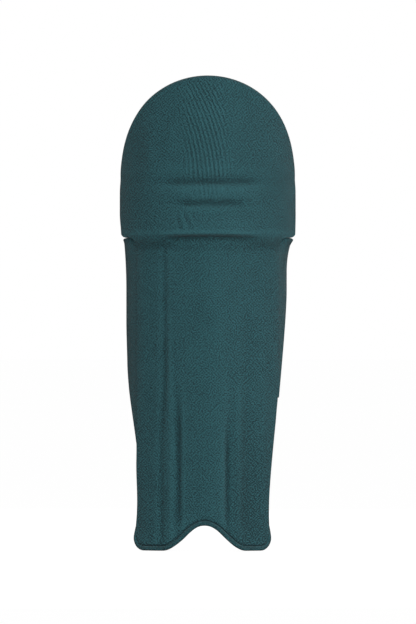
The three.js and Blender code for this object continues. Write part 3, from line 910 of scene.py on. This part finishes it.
def make_facing():
    """The smooth sheet over the shin's ribs, just inside the cover."""
    angle = np.linspace(FACING_HALF_ANGLE, -FACING_HALF_ANGLE, 69)[None, :]
    share = np.linspace(0, 1, 110)[:, None]
    height = lerp(foot(COVER_FOOT + 4, angle), FACING_TOP, share)
    angle = angle + 0 * height
    points = on_shell(angle, cover_radius(angle, height) - CLOTH - 0.4, height)
    cloth = np.stack([np.radians(angle) * SHIN_RADIUS, height, 0 * height], -1)
    piece = thicken("shin_facing_sheet", plain_sheet(points, cloth, 1.0))
    belongs(piece, "shin", ["shin_facing"], "facing")


def make_padding():
    """Each foam inside the covers, as the frame's solid with its edges rounded off."""
    foams = [n for n in frame["nodes"] if "foam" in n or "rib_" in n or "roll" in n]
    for node in sorted(foams):
        piece = softened_copy(node, node + "_padding", 3, 5)
        if "wing" not in node:
            set_points(piece.data, under_cover(mesh_points(piece.data), CLOTH + 2.2))
        belongs(piece, body_of(node), [node], "foam")


# ---------------------------------------------------------------- wings

# The upright line that each wing bends round, from the seam where it joins the shin's cover
seam = on_shell(SHIN_HALF_ANGLE, SHIN_RADIUS, TAPER_HEIGHT)
WING_LINE = (
    seam[0] - WING_RADIUS * math.sin(math.radians(WING_FROM)),
    seam[1] + WING_RADIUS * math.cos(math.radians(WING_FROM)),
)


def make_wing(name):
    """A side wing's cover, with a rounded free edge and a tight one along the seam, and its lining."""
    side, low, rise = WINGS[name]
    front_turn, free_turn, top_turn = 1.3, 4.5, 1.8

    # The wing flares out towards its top, to meet the wider knee
    def place(angle, radius, height):
        turn = np.radians(angle)
        x = side * (WING_LINE[0] + radius * np.sin(turn))
        return np.stack([x, WING_LINE[1] - radius * np.cos(turn), height + 0 * x], -1)

    def face(angle, height):
        if side < 0:
            flare = 1.8 + 1.6 * ease(250, 330, height) + 3.2 * clip((height - 373) / 70) ** 2
            flare = flare + 2.4 * clip((height - 439) / 9) ** 1.5
        else:
            flare = 6.6 * clip((height - 398) / 45) ** 2.2 + 4.4 * clip((height - 436) / 12) ** 1.5
        return WING_RADIUS + flare * ease(WING_FROM, WING_FROM + 16, angle)

    def back(height):
        return WING_BACK + 0 * height

    def edge(angle, height, outward):
        at_front = clip(-outward[:, 0] * 1.5 - 0.3)
        at_top = clip(outward[:, 1] * 1.5 - 0.3)
        turn = lerp(lerp(free_turn, front_turn, at_front), top_turn, at_top)
        return {
            "round": turn,
            "hem": 27.0 + 0 * turn,
            "draft": HINGE_SLOPE * at_front,
            "pinch": 0.4 * (1 - at_front),
            "stepped": 0 * turn,
        }

    def lower_edge(angle, start):
        """The wing's lower edge rises in a curve towards its free side."""
        left = 1 - (angle - WING_FROM) / (WING_TO - WING_FROM)
        return start + rise * (1 - left * left)

    s = np.linspace(0, 1, 34)[None, :]
    v = np.linspace(0, 1, 120)[:, None]
    first = WING_FROM + math.degrees((HINGE_GAP + front_turn) / WING_RADIUS)
    last = WING_TO - math.degrees(free_turn / WING_RADIUS)
    angle = lerp(first, last, s) + 0 * v
    depth = WING_LINE[1] - WING_RADIUS * np.cos(np.radians(angle))
    top = WING_TOP - KNEE_DROP * np.maximum(0, depth + 22) - top_turn
    height = lerp(lower_edge(angle, low + 5), top, v)
    sheet = wrapped(angle, height, place, face, back, edge)
    if side < 0:
        sheet["faces"] = sheet["faces"][:, ::-1]
        sheet["normals"] = -vertex_normals(sheet["points"], sheet["faces"][:, ::-1])
    piece = thicken(f"cover_wing_{name}_knit", sheet)
    belongs(piece, f"{name}_wing", [f"cover_wing_{name}"], "knit")

    angle = lerp(first + 6, last - 3, s) + 0 * v
    height = lerp(lower_edge(angle, low + 32), WING_TOP - 15, v)
    inside = between(s, 0.1, 0.9, 0.1) * between(v, 0.04, 0.97, 0.03)
    puff = 1.6 * quilting(angle, height, WING_BACK) * inside
    points = place(angle, WING_BACK + LINING_CLEAR - puff, height)
    cloth = np.stack([np.radians(angle) * WING_BACK, height, 0 * height], -1)
    lining = plain_sheet(points[:, ::side], cloth[:, ::side], 3.0)
    piece = thicken(f"lining_wing_{name}", lining)
    belongs(piece, f"{name}_wing", [f"wing_lining_{name}"], "quilted")


# ---------------------------------------------------------------- cord, welt, straps and rings

def sweep(name, path, out, up, section, closed=False, thick=1.0, wide=1.0):
    """A closed piece whose section, pairs of distances along `out` and `up`, follows a path. `thick` and
    `wide` draw it in along its length."""
    sides = []
    for direction, size, part in ((out, thick, 0), (up, wide, 1)):
        size = np.broadcast_to(size, len(path))
        sides.append(direction[:, None] * section[None, :, part, None] * size[:, None, None])
    points = path[:, None] + sides[0] + sides[1]
    ids = np.arange(points.shape[0] * points.shape[1]).reshape(points.shape[:2])
    if closed:
        faces = grid_faces(np.concatenate([ids, ids[:1]]), closed=True)
        faces = [list(face) for face in faces]
    else:
        faces = [list(face) for face in grid_faces(ids, closed=True)] + [list(ids[0, ::-1]), list(ids[-1])]
    piece = make_mesh(name, points.reshape(-1, 3), faces)
    volume = sum(p.center.dot(p.normal) * p.area for p in piece.data.polygons)
    if volume < 0:
        piece.data.flip_normals()
    return piece


def circle(radius, count):
    turn = np.linspace(0, 2 * np.pi, count, endpoint=False)
    return radius * np.stack([np.cos(turn), np.sin(turn)], -1)


def rounded_section(thick, wide, corner, across_count=10):
    """A flat strip's section with rounded edges, anticlockwise."""
    turn = np.linspace(0, np.pi / 2, 4)
    right = [(thick / 2 - corner, wide / 2 - corner, 0), (-thick / 2 + corner, wide / 2 - corner, 1),
             (-thick / 2 + corner, -wide / 2 + corner, 2), (thick / 2 - corner, -wide / 2 + corner, 3)]
    points = []
    for x, y, quarter in right:
        bend = turn + quarter * np.pi / 2
        points += list(zip(x + corner * np.cos(bend), y + corner * np.sin(bend)))
        if quarter in (1, 3):
            step = 1 if quarter == 3 else -1
            run = np.linspace(-1, 1, across_count)[1:-1] * (wide / 2 - corner) * step
            edge = thick / 2 if quarter == 3 else -thick / 2
            points += [(edge, y) for y in run]
    return np.array(points)


def make_cord(sheet):
    """The piped cord along the foot. It turns up into the cover's edge at each side."""
    line, outward, scale, radius = sheet["loop"]
    under = line[:, 1] < ARCH_HEIGHT + COVER_FOOT + 6
    low = np.flatnonzero(under & ((outward[:, 1] < -0.3) | (line[:, 1] < CORD_TOP)))
    first = int(np.argmax(np.diff(np.concatenate([low[-1:] - len(line), low]))))
    order = np.roll(low, -first)
    turn = edge_turn(np.where(line[order, 0] < 0, -1.0, 1.0), line[order, 1])
    at_foot = clip(-outward[order, 1] * 2)
    rising = ease(10, CORD_TOP, line[order, 1]) * (1 - at_foot)
    clear = lerp(turn - 1.2 - 3.0 * rising, COVER_FOOT - CORD_RADIUS - 0.2, at_foot)
    flat = line[order] + outward[order] * clear[:, None]
    flat[:, 0] /= scale[order]
    path = on_shell(flat[:, 0], radius[order] - 2.5, flat[:, 1])
    along = unit(np.gradient(path, axis=0))
    front = unit(np.stack([path[:, 0], path[:, 1] - SHELL_Y, 0 * path[:, 0]], -1))
    down = unit(np.cross(along, front))
    front = unit(np.cross(down, along))
    size = lerp(1.0, 0.3, rising)
    facets = 14
    piece = sweep("foot_cord", path, front, down, circle(CORD_RADIUS, facets), thick=size, wide=size)
    lengths = np.repeat(along_lengths(path), facets)
    round_cord = np.tile(np.arange(facets) * 1.6, len(path))
    give(piece.data, "cloth", np.stack([lengths, round_cord, 0 * lengths], -1))
    give(piece.data, "hem", np.full(len(lengths), NO_SEAM))
    belongs(piece, "shin", ["hem_cord"], "knit")


def make_welt():
    """The padded strip that closes the foot between the cover and the lining."""
    share = np.linspace(0, 1, 12)
    angle = np.linspace(-53, 53, 150)[:, None]
    radius = lerp(SHIN_BACK + 1.6, SHIN_RADIUS - 6.5, share[None, :])
    puff = 1.2 * np.sin(np.pi * share) ** 0.6
    height = foot_behind(1.4 + 0 * angle, angle, radius) + 1.4 - puff
    points = on_shell(angle + 0 * radius, radius + 0 * angle, height)
    piece = thicken("instep_welt_binding", plain_sheet(points, points.copy(), 3.4))
    belongs(piece, "shin", ["instep_welt"], "binding")


def on_ellipse(middle, radii, angle):
    turn = np.radians(angle)
    x = middle[0] + radii[0] * np.cos(turn)
    y = middle[1] + radii[1] * np.sin(turn)
    out = unit(np.stack([np.cos(turn) * radii[1], np.sin(turn) * radii[0], 0 * turn], -1))
    return np.stack([x, y, middle[2] + 0 * turn], -1), out


def along_lengths(path):
    return np.concatenate([[0], np.cumsum(np.linalg.norm(np.diff(path, axis=0), axis=1))])


def add_strip_values(piece, lengths, section):
    """Where each point of a swept strip is along and across it, for its weave and stitching."""
    along = np.repeat(lengths, len(section))
    wide = np.tile(section[:, 1], len(lengths))
    give(piece.data, "cloth", np.stack([along, wide, lengths[-1] - along], -1))


def pivot_of(joint):
    return np.array(JOINTS[joint]["pos_m"]) / MM


def upright(path):
    return np.tile([0.0, 0.0, 1.0], (len(path), 1))


def make_strap(name):
    """A webbing strap round the back of the leg, and the hook tail sewn to its end."""
    anchor = pivot_of(f"{name}_strap_swing")
    low, high = corners(f"{name}_strap")
    tail_low, tail_high = corners(f"{name}_strap_tail")
    thick = 4.0
    depth = high[1] - thick / 2 - anchor[1]
    half = ANKLE_HALF_WIDTH if name == "ankle" else -anchor[0]
    middle = (anchor[0] + half, anchor[1], anchor[2])
    fold = pivot_of(f"{name}_tail_fold")
    join = math.degrees(math.acos((fold[0] - middle[0]) / (half + thick / 2)))
    tip = math.degrees(math.acos((tail_high[0] - middle[0]) / (half + 1.2)))

    section = rounded_section(thick * 0.82, high[2] - low[2], 1.1)
    path, out = on_ellipse(middle, (half, depth), np.linspace(join + 0.7, 180, 90))
    piece = sweep(f"{name}_strap_webbing", path, out, upright(path), section)
    add_strip_values(piece, along_lengths(path), section)
    belongs(piece, f"{name}_strap", [f"{name}_strap"], "webbing")

    # The tail is thinner, and its tip is rounded
    section = rounded_section(2.2, tail_high[2] - tail_low[2], 0.7)
    path, out = on_ellipse(middle, (half, depth), np.linspace(tip, join, 60))
    from_tip = along_lengths(path)
    rounding = np.sqrt(clip(1 - (1 - clip(from_tip / 14)) ** 2, 0.05, 1))
    piece = sweep(f"{name}_hook_tail", path, out, upright(path), section, wide=rounding)
    add_strip_values(piece, from_tip, section)
    belongs(piece, f"{name}_tail", [f"{name}_strap_tail"], "hook")


def make_ring(name):
    """A wire ring in a folded webbing keeper, sewn inside the pad's right edge."""
    pivot = pivot_of(f"{name}_ring_pivot")
    ring_low, ring_high = corners(f"{name}_ring")
    keeper_low, keeper_high = corners(f"{name}_ring_keeper")
    far = (ring_low + ring_high) / 2 - pivot
    turn = math.atan2(far[1], far[0])
    forward = np.array([math.cos(turn), math.sin(turn), 0.0])
    sideways = np.array([-math.sin(turn), math.cos(turn), 0.0])
    upward = np.array([0.0, 0.0, 1.0])

    wire, corner, width = 2.0, 4.0, 12.0
    tall = ring_high[2] - ring_low[2] - 2 * wire
    bend = np.linspace(0, np.pi / 2, 9)
    outline = []
    for quarter, (sx, sy) in enumerate([(1, 1), (-1, 1), (-1, -1), (1, -1)]):
        centre = np.array([sx * (width / 2 - corner), sy * (tall / 2 - corner)])
        turned = bend + quarter * QUARTER
        outline += [centre + corner * np.array([math.cos(t), math.sin(t)]) for t in turned]
    outline = np.array(outline)
    path = pivot + forward * (outline[:, :1] + width / 2) + upward * outline[:, 1:]
    along = unit(np.roll(path, -1, axis=0) - np.roll(path, 1, axis=0))
    side = np.tile(sideways, (len(path), 1))
    outside = unit(np.cross(along, side))
    piece = sweep(f"{name}_wire_ring", path, side, outside, circle(wire, 16), closed=True)
    belongs(piece, f"{name}_ring", [f"{name}_ring"], "ring")

    # The keeper: a strip that runs out flat, round the ring's wire in a loop, and back on itself
    tail = KEEPER_TAILS[name] + 6.4
    loop, apart = 3.55, 0.62
    mouth = math.asin(apart / loop)
    turned = np.linspace(math.pi + mouth, 3 * math.pi - mouth, 40)
    straight = np.linspace(-tail, loop * math.cos(math.pi + mouth), 16)[:-1]
    xs = np.concatenate([straight, loop * np.cos(turned), straight[::-1]])
    ys = np.concatenate([0 * straight - apart, loop * np.sin(turned), 0 * straight + apart])
    path = pivot + forward * xs[:, None] + sideways * ys[:, None]
    along = unit(np.gradient(path, axis=0))
    up = upright(path)
    section = rounded_section(1.15, keeper_high[2] - keeper_low[2], 0.5)
    piece = sweep(f"{name}_keeper_webbing", path, unit(np.cross(along, up)), up, section)
    add_strip_values(piece, along_lengths(path), section)
    keeper = f"{name}_ring_keeper"
    belongs(piece, body_of(keeper), [keeper], "webbing")


def make_patches():
    """The stitched patches that hold the straps, as the frame's plates with rounded corners and edges."""
    for name in STRAP_NAMES:
        node = f"{name}_strap_patch"
        piece = softened_copy(node, f"{name}_patch_binding", 0.9, 3)
        belongs(piece, body_of(node), [node], "binding")


# ---------------------------------------------------------------- materials

MATERIALS = {}


class Nodes:
    """A material's node tree, with short calls for the nodes that the finishes here use."""

    def __init__(self, name):
        self.material = bpy.data.materials.new(name)
        self.material.use_nodes = True
        self.tree = self.material.node_tree
        self.surface = self.tree.nodes["Principled BSDF"]

    def add(self, kind, inputs=None, **settings):
        node = self.tree.nodes.new(kind)
        for key, value in settings.items():
            setattr(node, key, value)
        for key, value in (inputs or {}).items():
            self.set(node.inputs[key], value)
        return node

    def set(self, socket, value):
        if isinstance(value, bpy.types.NodeSocket):
            self.tree.links.new(value, socket)
        else:
            socket.default_value = value

    def math(self, operation, a, b=0.0, c=0.0):
        return self.add("ShaderNodeMath", {0: a, 1: b, 2: c}, operation=operation).outputs[0]

    def times(self, a, b):
        return self.math("MULTIPLY", a, b)

    def above(self, value, level):
        """1 where `value` is above a level, and 0 elsewhere."""
        return self.math("GREATER_THAN", value, level)

    def read(self, name, part="Fac"):
        return self.add("ShaderNodeAttribute", attribute_name=name).outputs[part]

    def parts(self, vector):
        return self.add("ShaderNodeSeparateXYZ", {0: vector}).outputs

    def place(self, size):
        """Places on the piece, in units of `size` millimetres."""
        at = self.add("ShaderNodeTexCoord").outputs["Object"]
        return self.scaled(at, 1 / (size * MM))

    def scaled(self, vector, scale):
        scale = scale if isinstance(scale, tuple) else (scale,) * 3
        return self.add("ShaderNodeVectorMath", {0: vector, 1: scale}, operation="MULTIPLY").outputs[0]

    def noise(self, vector, scale=1.0, detail=3.0, roughness=0.5):
        inputs = {"Vector": vector, "Scale": scale, "Detail": detail, "Roughness": roughness}
        return self.add("ShaderNodeTexNoise", inputs).outputs["Fac"]

    def cells(self, vector, feature="F1"):
        node = self.add("ShaderNodeTexVoronoi", {"Vector": vector, "Scale": 1.0}, feature=feature)
        return node.outputs["Distance"]

    def wave(self, value, shift=0.0):
        """-1 to 1 and back, once for each whole step of `value`."""
        turned = self.math("MULTIPLY_ADD", value, 2 * math.pi, shift)
        return self.math("SINE", turned)

    def near(self, value, centre, reach):
        """1 where `value` is at `centre`, falling to 0 at `reach` from it."""
        off = self.math("ABSOLUTE", self.math("SUBTRACT", value, centre))
        return self.math("MAXIMUM", 0.0, self.math("MULTIPLY_ADD", off, -1 / reach, 1.0))

    def total(self, *weighted):
        """The sum of (weight, value) pairs."""
        result = 0.0
        for weight, value in weighted:
            result = self.math("MULTIPLY_ADD", value, weight, result)
        return result

    def mix(self, dark, light, amount):
        node = self.add("ShaderNodeMix", data_type="RGBA")
        self.set(node.inputs[0], amount)
        self.set(node.inputs[6], (*dark, 1) if isinstance(dark, tuple) else dark)
        self.set(node.inputs[7], (*light, 1) if isinstance(light, tuple) else light)
        return node.outputs[2]

    def bump(self, height, depth, strength=1.0):
        """`depth` is in millimetres."""
        bump = self.add("ShaderNodeBump", {"Height": height, "Distance": depth * MM, "Strength": strength})
        return bump.outputs[0]

    def done(self, **inputs):
        for key, value in inputs.items():
            self.set(self.surface.inputs[key.replace("_", " ")], value)
        return self.material


def knit():
    """Fine diagonal knit that shows lines where it is stretched, with painted shade in its folds and a
    painted highlight on its ridges.
    """
    n = Nodes("knit")
    cloth = n.read("cloth", "Vector")
    wander = n.times(n.noise(n.scaled(cloth, 0.16), 1.0, 2.0), 2.2)
    x, z, _ = n.parts(cloth)
    pitch = 1 / 4.5
    rising = n.wave(n.math("MULTIPLY_ADD", n.math("ADD", x, z), pitch, wander))
    falling = n.wave(n.math("MULTIPLY_ADD", n.math("SUBTRACT", x, z), pitch, wander))
    side = n.noise(n.scaled(cloth, 0.06), 1.0, 1.0)
    eyes = n.total((1.0, n.times(rising, side)),
                   (1.0, n.times(falling, n.math("SUBTRACT", 1.0, side))))
    grain = n.noise(cloth, 0.62, 1.0, 0.5)
    patches = n.noise(n.scaled(cloth, 0.025), 1.0, 2.0)
    line = n.wave(n.read("rib_line"))
    ribs = n.times(line, n.read("rib_strength"))
    # Painted shade: the fold value darkens the folds, the edge along the foot and a patch at the lower
    # right, and lightens the ridges as a painted highlight
    folds = n.read("fold")
    stitches = n.near(n.read("hem"), 1.5, 1.0)
    worn = n.noise(n.scaled(cloth, 0.15), 1.0, 4.0, 0.7)
    tone = n.total(
        (0.50, eyes), (2.6, grain), (0.25, patches), (0.26, ribs), (0.10, worn), (-0.25, stitches),
        (-0.42, folds), (1.0, -0.97),
    )
    loops = n.times(n.wave(n.times(x, 1 / 1.3)), n.wave(n.times(z, 1 / 1.1)))
    shade = n.math("MULTIPLY_ADD", loops, 0.18, tone)
    colour = n.mix((0.0048, 0.030, 0.037), (0.0418, 0.1665, 0.192), shade)
    height = n.total((0.6, eyes), (0.9, grain), (0.9, ribs), (-0.8, stitches), (0.5, loops))
    roughness = n.total((0.12, grain), (0.08, eyes), (1.0, 0.60))
    return n.done(
        Base_Color=colour, Roughness=roughness, Normal=n.bump(height, 0.35, 0.9),
        Sheen_Weight=0.10, Sheen_Roughness=0.45, Specular_IOR_Level=0.30,
    )


def quilted():
    """Brushed spacer mesh, quilted in diamonds with a lighter thread."""
    n = Nodes("quilted")
    cloth = n.read("cloth", "Vector")
    x, z, _ = n.parts(cloth)
    holes = n.cells(n.scaled(cloth, 1 / 2.2))
    grain = n.noise(cloth, 1.6, 3.0, 0.6)
    soiled = n.noise(n.scaled(cloth, 0.03), 1.0, 4.0, 0.6)
    rows = []
    for sign in (1, -1):
        at = n.math("MULTIPLY_ADD", z, sign, x)
        crossing = n.math("ABSOLUTE", n.math("SINE", n.times(at, math.pi / QUILT)))
        row = n.near(crossing, 0.0, 0.10)
        along = n.math("MULTIPLY_ADD", z, -sign, x)
        dash = n.above(n.wave(n.times(along, 1 / 5.2)), -0.35)
        rows.append(n.times(row, dash))
    thread = n.math("MAXIMUM", rows[0], rows[1])
    tone = n.total((0.9, holes), (0.5, grain), (0.35, soiled), (-0.25, 1.0))
    colour = n.mix((0.23, 0.25, 0.26), (0.58, 0.60, 0.60), tone)
    colour = n.mix(colour, (0.72, 0.73, 0.72), n.times(thread, 0.8))
    height = n.total((0.8, holes), (0.3, grain), (0.8, thread))
    return n.done(Base_Color=colour, Roughness=n.total((0.1, grain), (1.0, 0.8)),
                  Normal=n.bump(height, 0.35, 0.8), Sheen_Weight=0.2)


def cushion_mesh():
    """Soft mesh over a cushion's foam."""
    n = Nodes("cushion_mesh")
    holes = n.cells(n.place(2.4))
    grain = n.noise(n.place(1.0), 1.2, 3.0)
    soiled = n.noise(n.place(30), 1.0, 4.0, 0.6)
    tone = n.total((0.9, holes), (0.4, grain), (0.5, soiled), (-0.3, 1.0))
    colour = n.mix((0.28, 0.30, 0.31), (0.66, 0.68, 0.68), tone)
    height = n.total((0.9, holes), (0.3, grain))
    return n.done(Base_Color=colour, Roughness=n.total((0.12, grain), (1.0, 0.78)),
                  Normal=n.bump(height, 0.35, 0.8), Sheen_Weight=0.25)


def binding():
    """Grained synthetic leather, rubbed lighter in places."""
    n = Nodes("binding")
    grain = n.cells(n.place(1.1))
    creases = n.noise(n.place(4), 1.0, 5.0, 0.7)
    rubbed = n.noise(n.place(14), 1.0, 4.0, 0.7)
    tone = n.total((0.5, grain), (0.3, creases), (0.6, rubbed), (-0.35, 1.0))
    colour = n.mix((0.010, 0.024, 0.028), (0.050, 0.095, 0.105), tone)
    roughness = n.total((0.25, rubbed), (0.15, grain), (1.0, 0.35))
    height = n.total((0.7, grain), (0.4, creases))
    return n.done(Base_Color=colour, Roughness=roughness, Normal=n.bump(height, 0.2))


def webbing():
    """Herringbone webbing with two rows of stitches along each edge and a sewn box at each end."""
    n = Nodes("webbing")
    along, wide, left = n.parts(n.read("cloth", "Vector"))
    rib = n.math("ABSOLUTE", n.wave(n.times(wide, 1 / 5.0)))
    slant = n.math("MULTIPLY_ADD", rib, 1.2, n.times(along, 0.62))
    yarn = n.wave(slant)
    cross = n.wave(n.times(wide, 0.8))
    fuzz = n.noise(n.place(1.0), 1.5, 3.0, 0.7)
    worn = n.noise(n.place(12), 1.0, 4.0, 0.7)
    rows = n.near(n.math("ABSOLUTE", wide), 16.5, 0.8)
    dash = n.above(n.wave(n.times(along, 1 / 3.4)), -0.2)
    ends = n.math("MAXIMUM", n.near(along, 7.0, 0.9), n.near(left, 7.0, 0.9))
    dots = n.above(n.wave(n.times(wide, 1 / 3.4)), -0.2)
    thread = n.math("MAXIMUM", n.times(rows, dash), n.times(ends, dots))
    tone = n.total((0.22, yarn), (0.1, cross), (0.5, fuzz), (0.5, worn), (-0.12, 1.0))
    colour = n.mix((0.006, 0.008, 0.009), (0.045, 0.055, 0.06), tone)
    colour = n.mix(colour, (0.16, 0.26, 0.28), n.times(thread, 0.9))
    height = n.total((0.7, yarn), (0.3, cross), (0.25, fuzz), (0.8, thread))
    roughness = n.total((0.2, fuzz), (1.0, 0.65))
    return n.done(Base_Color=colour, Roughness=roughness, Normal=n.bump(height, 0.35))


def hook():
    """Hook tape: rows of tiny hooks between plain selvedges."""
    n = Nodes("hook")
    along, wide, _ = n.parts(n.read("cloth", "Vector"))
    dots = n.times(n.wave(n.times(along, 0.55)), n.wave(n.times(wide, 0.55)))
    fuzz = n.noise(n.place(0.8), 1.3, 3.0, 0.7)
    inside = n.math("LESS_THAN", n.math("ABSOLUTE", wide), 13.0)
    hooks = n.times(dots, inside)
    tone = n.total((0.4, hooks), (0.6, fuzz), (0.1, 1.0))
    colour = n.mix((0.004, 0.005, 0.006), (0.040, 0.046, 0.05), tone)
    height = n.total((1.0, hooks), (0.4, fuzz))
    return n.done(Base_Color=colour, Roughness=n.total((0.2, fuzz), (1.0, 0.6)), Normal=n.bump(height, 0.5))


def ring():
    """Moulded plastic with fine scuffs."""
    n = Nodes("ring")
    scuffs = n.noise(n.scaled(n.place(1.0), (0.3, 0.3, 1.5)), 1.0, 6.0, 0.8)
    dust = n.noise(n.place(6), 1.0, 3.0)
    colour = n.mix((0.006, 0.007, 0.008), (0.035, 0.038, 0.042), n.total((0.6, scuffs), (0.4, dust)))
    roughness = n.total((0.35, scuffs), (0.15, dust), (1.0, 0.12))
    return n.done(Base_Color=colour, Roughness=roughness, Normal=n.bump(scuffs, 0.05, 0.6))


def foam():
    """Closed-cell foam."""
    n = Nodes("foam")
    bubbles = n.cells(n.place(0.9))
    stained = n.noise(n.place(20), 1.0, 4.0)
    tone = n.total((0.6, bubbles), (0.6, stained), (-0.1, 1.0))
    colour = n.mix((0.50, 0.45, 0.35), (0.78, 0.74, 0.64), tone)
    return n.done(Base_Color=colour, Roughness=n.total((0.1, bubbles), (1.0, 0.82)),
                  Normal=n.bump(bubbles, 0.3, 0.7))


def cane():
    """Split cane: long fibres with darker joints."""
    n = Nodes("cane")
    fibres = n.noise(n.scaled(n.place(1.0), (1.2, 1.2, 0.03)), 1.0, 5.0, 0.7)
    joints = n.noise(n.scaled(n.place(1.0), (0.02, 0.02, 0.012)), 1.0, 2.0)
    tone = n.total((0.9, fibres), (0.5, joints), (-0.2, 1.0))
    colour = n.mix((0.30, 0.17, 0.06), (0.72, 0.50, 0.24), tone)
    return n.done(Base_Color=colour, Roughness=n.total((0.25, fibres), (1.0, 0.38)),
                  Normal=n.bump(fibres, 0.25, 0.6))


def board():
    """Moulded polypropylene board with a fine spark-eroded texture."""
    n = Nodes("board")
    pits = n.noise(n.place(0.7), 1.0, 4.0, 0.7)
    streaks = n.noise(n.scaled(n.place(1.0), (0.12, 0.12, 0.012)), 1.0, 3.0)
    colour = n.mix((0.020, 0.022, 0.025), (0.075, 0.08, 0.088), n.total((0.5, pits), (0.5, streaks)))
    return n.done(Base_Color=colour, Roughness=n.total((0.25, pits), (1.0, 0.45)), Normal=n.bump(pits, 0.1))


def facing():
    """Smooth white synthetic leather with a light pebble grain."""
    n = Nodes("facing")
    grain = n.cells(n.place(1.4))
    marks = n.noise(n.place(18), 1.0, 5.0, 0.7)
    colour = n.mix((0.60, 0.58, 0.53), (0.86, 0.85, 0.81), n.total((0.4, grain), (0.8, marks), (-0.1, 1.0)))
    return n.done(Base_Color=colour, Roughness=n.total((0.2, grain), (0.2, marks), (1.0, 0.3)),
                  Normal=n.bump(grain, 0.15, 0.7))


MAKERS = {
    "knit": knit, "quilted": quilted, "cushion_mesh": cushion_mesh, "binding": binding, "webbing": webbing,
    "hook": hook, "ring": ring, "foam": foam, "cane": cane, "board": board, "facing": facing,
}


def finish(piece, material):
    """Gives a piece its one material, made the first time that it is asked for."""
    if material not in MATERIALS:
        MATERIALS[material] = MAKERS[material]()
    piece.data.materials.clear()
    piece.data.materials.append(MATERIALS[material])


def finish_frame():
    """The frame's own rigid parts that stay get their finishes."""
    for name, node in frame["nodes"].items():
        if node.hide_render:
            continue
        kind = "cane" if "cane" in name else "board"
        finish(node, kind)


# ---------------------------------------------------------------- floor, light and camera

def make_stage():
    """A pale floor under an even white sky. The camera sees both as white."""
    scene = bpy.context.scene
    scene.view_settings.view_transform = "Standard"
    world = bpy.data.worlds.new("soft_studio")
    world.use_nodes = True
    scene.world = world
    tree = world.node_tree
    seen = tree.nodes.new("ShaderNodeLightPath")
    strength = tree.nodes.new("ShaderNodeMix")
    strength.inputs[2].default_value = AMBIENT
    strength.inputs[3].default_value = 1.0
    tree.links.new(seen.outputs["Is Camera Ray"], strength.inputs[0])
    tree.links.new(strength.outputs[0], tree.nodes["Background"].inputs["Strength"])
    tree.nodes["Background"].inputs["Color"].default_value = (1, 1, 1, 1)

    size = 60000
    square = np.array([[-size, -size, 0], [size, -size, 0], [size, size, 0], [-size, size, 0]], float)
    floor = make_mesh("floor", square, np.array([[0, 1, 2, 3]]), smooth=False)
    floor.location.z = cad_bounds[0].z - 0.0005
    n = Nodes("pale_floor")
    seen = n.add("ShaderNodeLightPath").outputs["Is Camera Ray"]
    glow = n.times(seen, 0.94)
    n.done(Base_Color=(0.18, 0.18, 0.18, 1), Roughness=0.9, Specular_IOR_Level=0.0,
           Emission_Color=(1, 1, 1, 1), Emission_Strength=glow)
    floor.data.materials.append(n.material)


def add_light(name, place, watts, width=1.3):
    """A square soft light that faces the middle of the pad."""
    lamp = bpy.data.lights.new(name, "AREA")
    lamp.size = width
    lamp.energy = watts
    light = linked(name, lamp)
    light.location = place
    aim = (cad_bounds[0] + cad_bounds[1]) / 2 - light.location
    light.rotation_euler = aim.to_track_quat("-Z", "Y").to_euler()


def make_camera():
    """A long lens level with the pad's middle and straight in front, as the photograph has it."""
    view_height = 895
    middle = (0.4, 341.4)
    camera = bpy.data.cameras.new("camera")
    camera.lens = 600
    camera.sensor_width = 36
    camera.clip_end = 100
    eye = linked("camera", camera)
    distance = view_height * camera.lens / camera.sensor_width
    eye.location = (middle[0] * MM, -distance * MM, middle[1] * MM)
    eye.rotation_euler = (math.pi / 2, 0, 0)
    bpy.context.scene.camera = eye


# ---------------------------------------------------------------- the whole pad

cover = make_cover()
make_cord(cover)
make_welt()
make_lining()
make_cushions()
make_wing("left")
make_wing("right")
for strap in STRAP_NAMES:
    make_strap(strap)
    make_ring(strap)
make_patches()
make_facing()
make_padding()
finish_frame()
make_stage()
add_light("key", (0.15, -2.83, 0.55), 50)
add_light("side", (2.74, -0.6, 0.55), 18)
add_light("back", (0.3, 2.8, 1.1), 22)
make_camera()
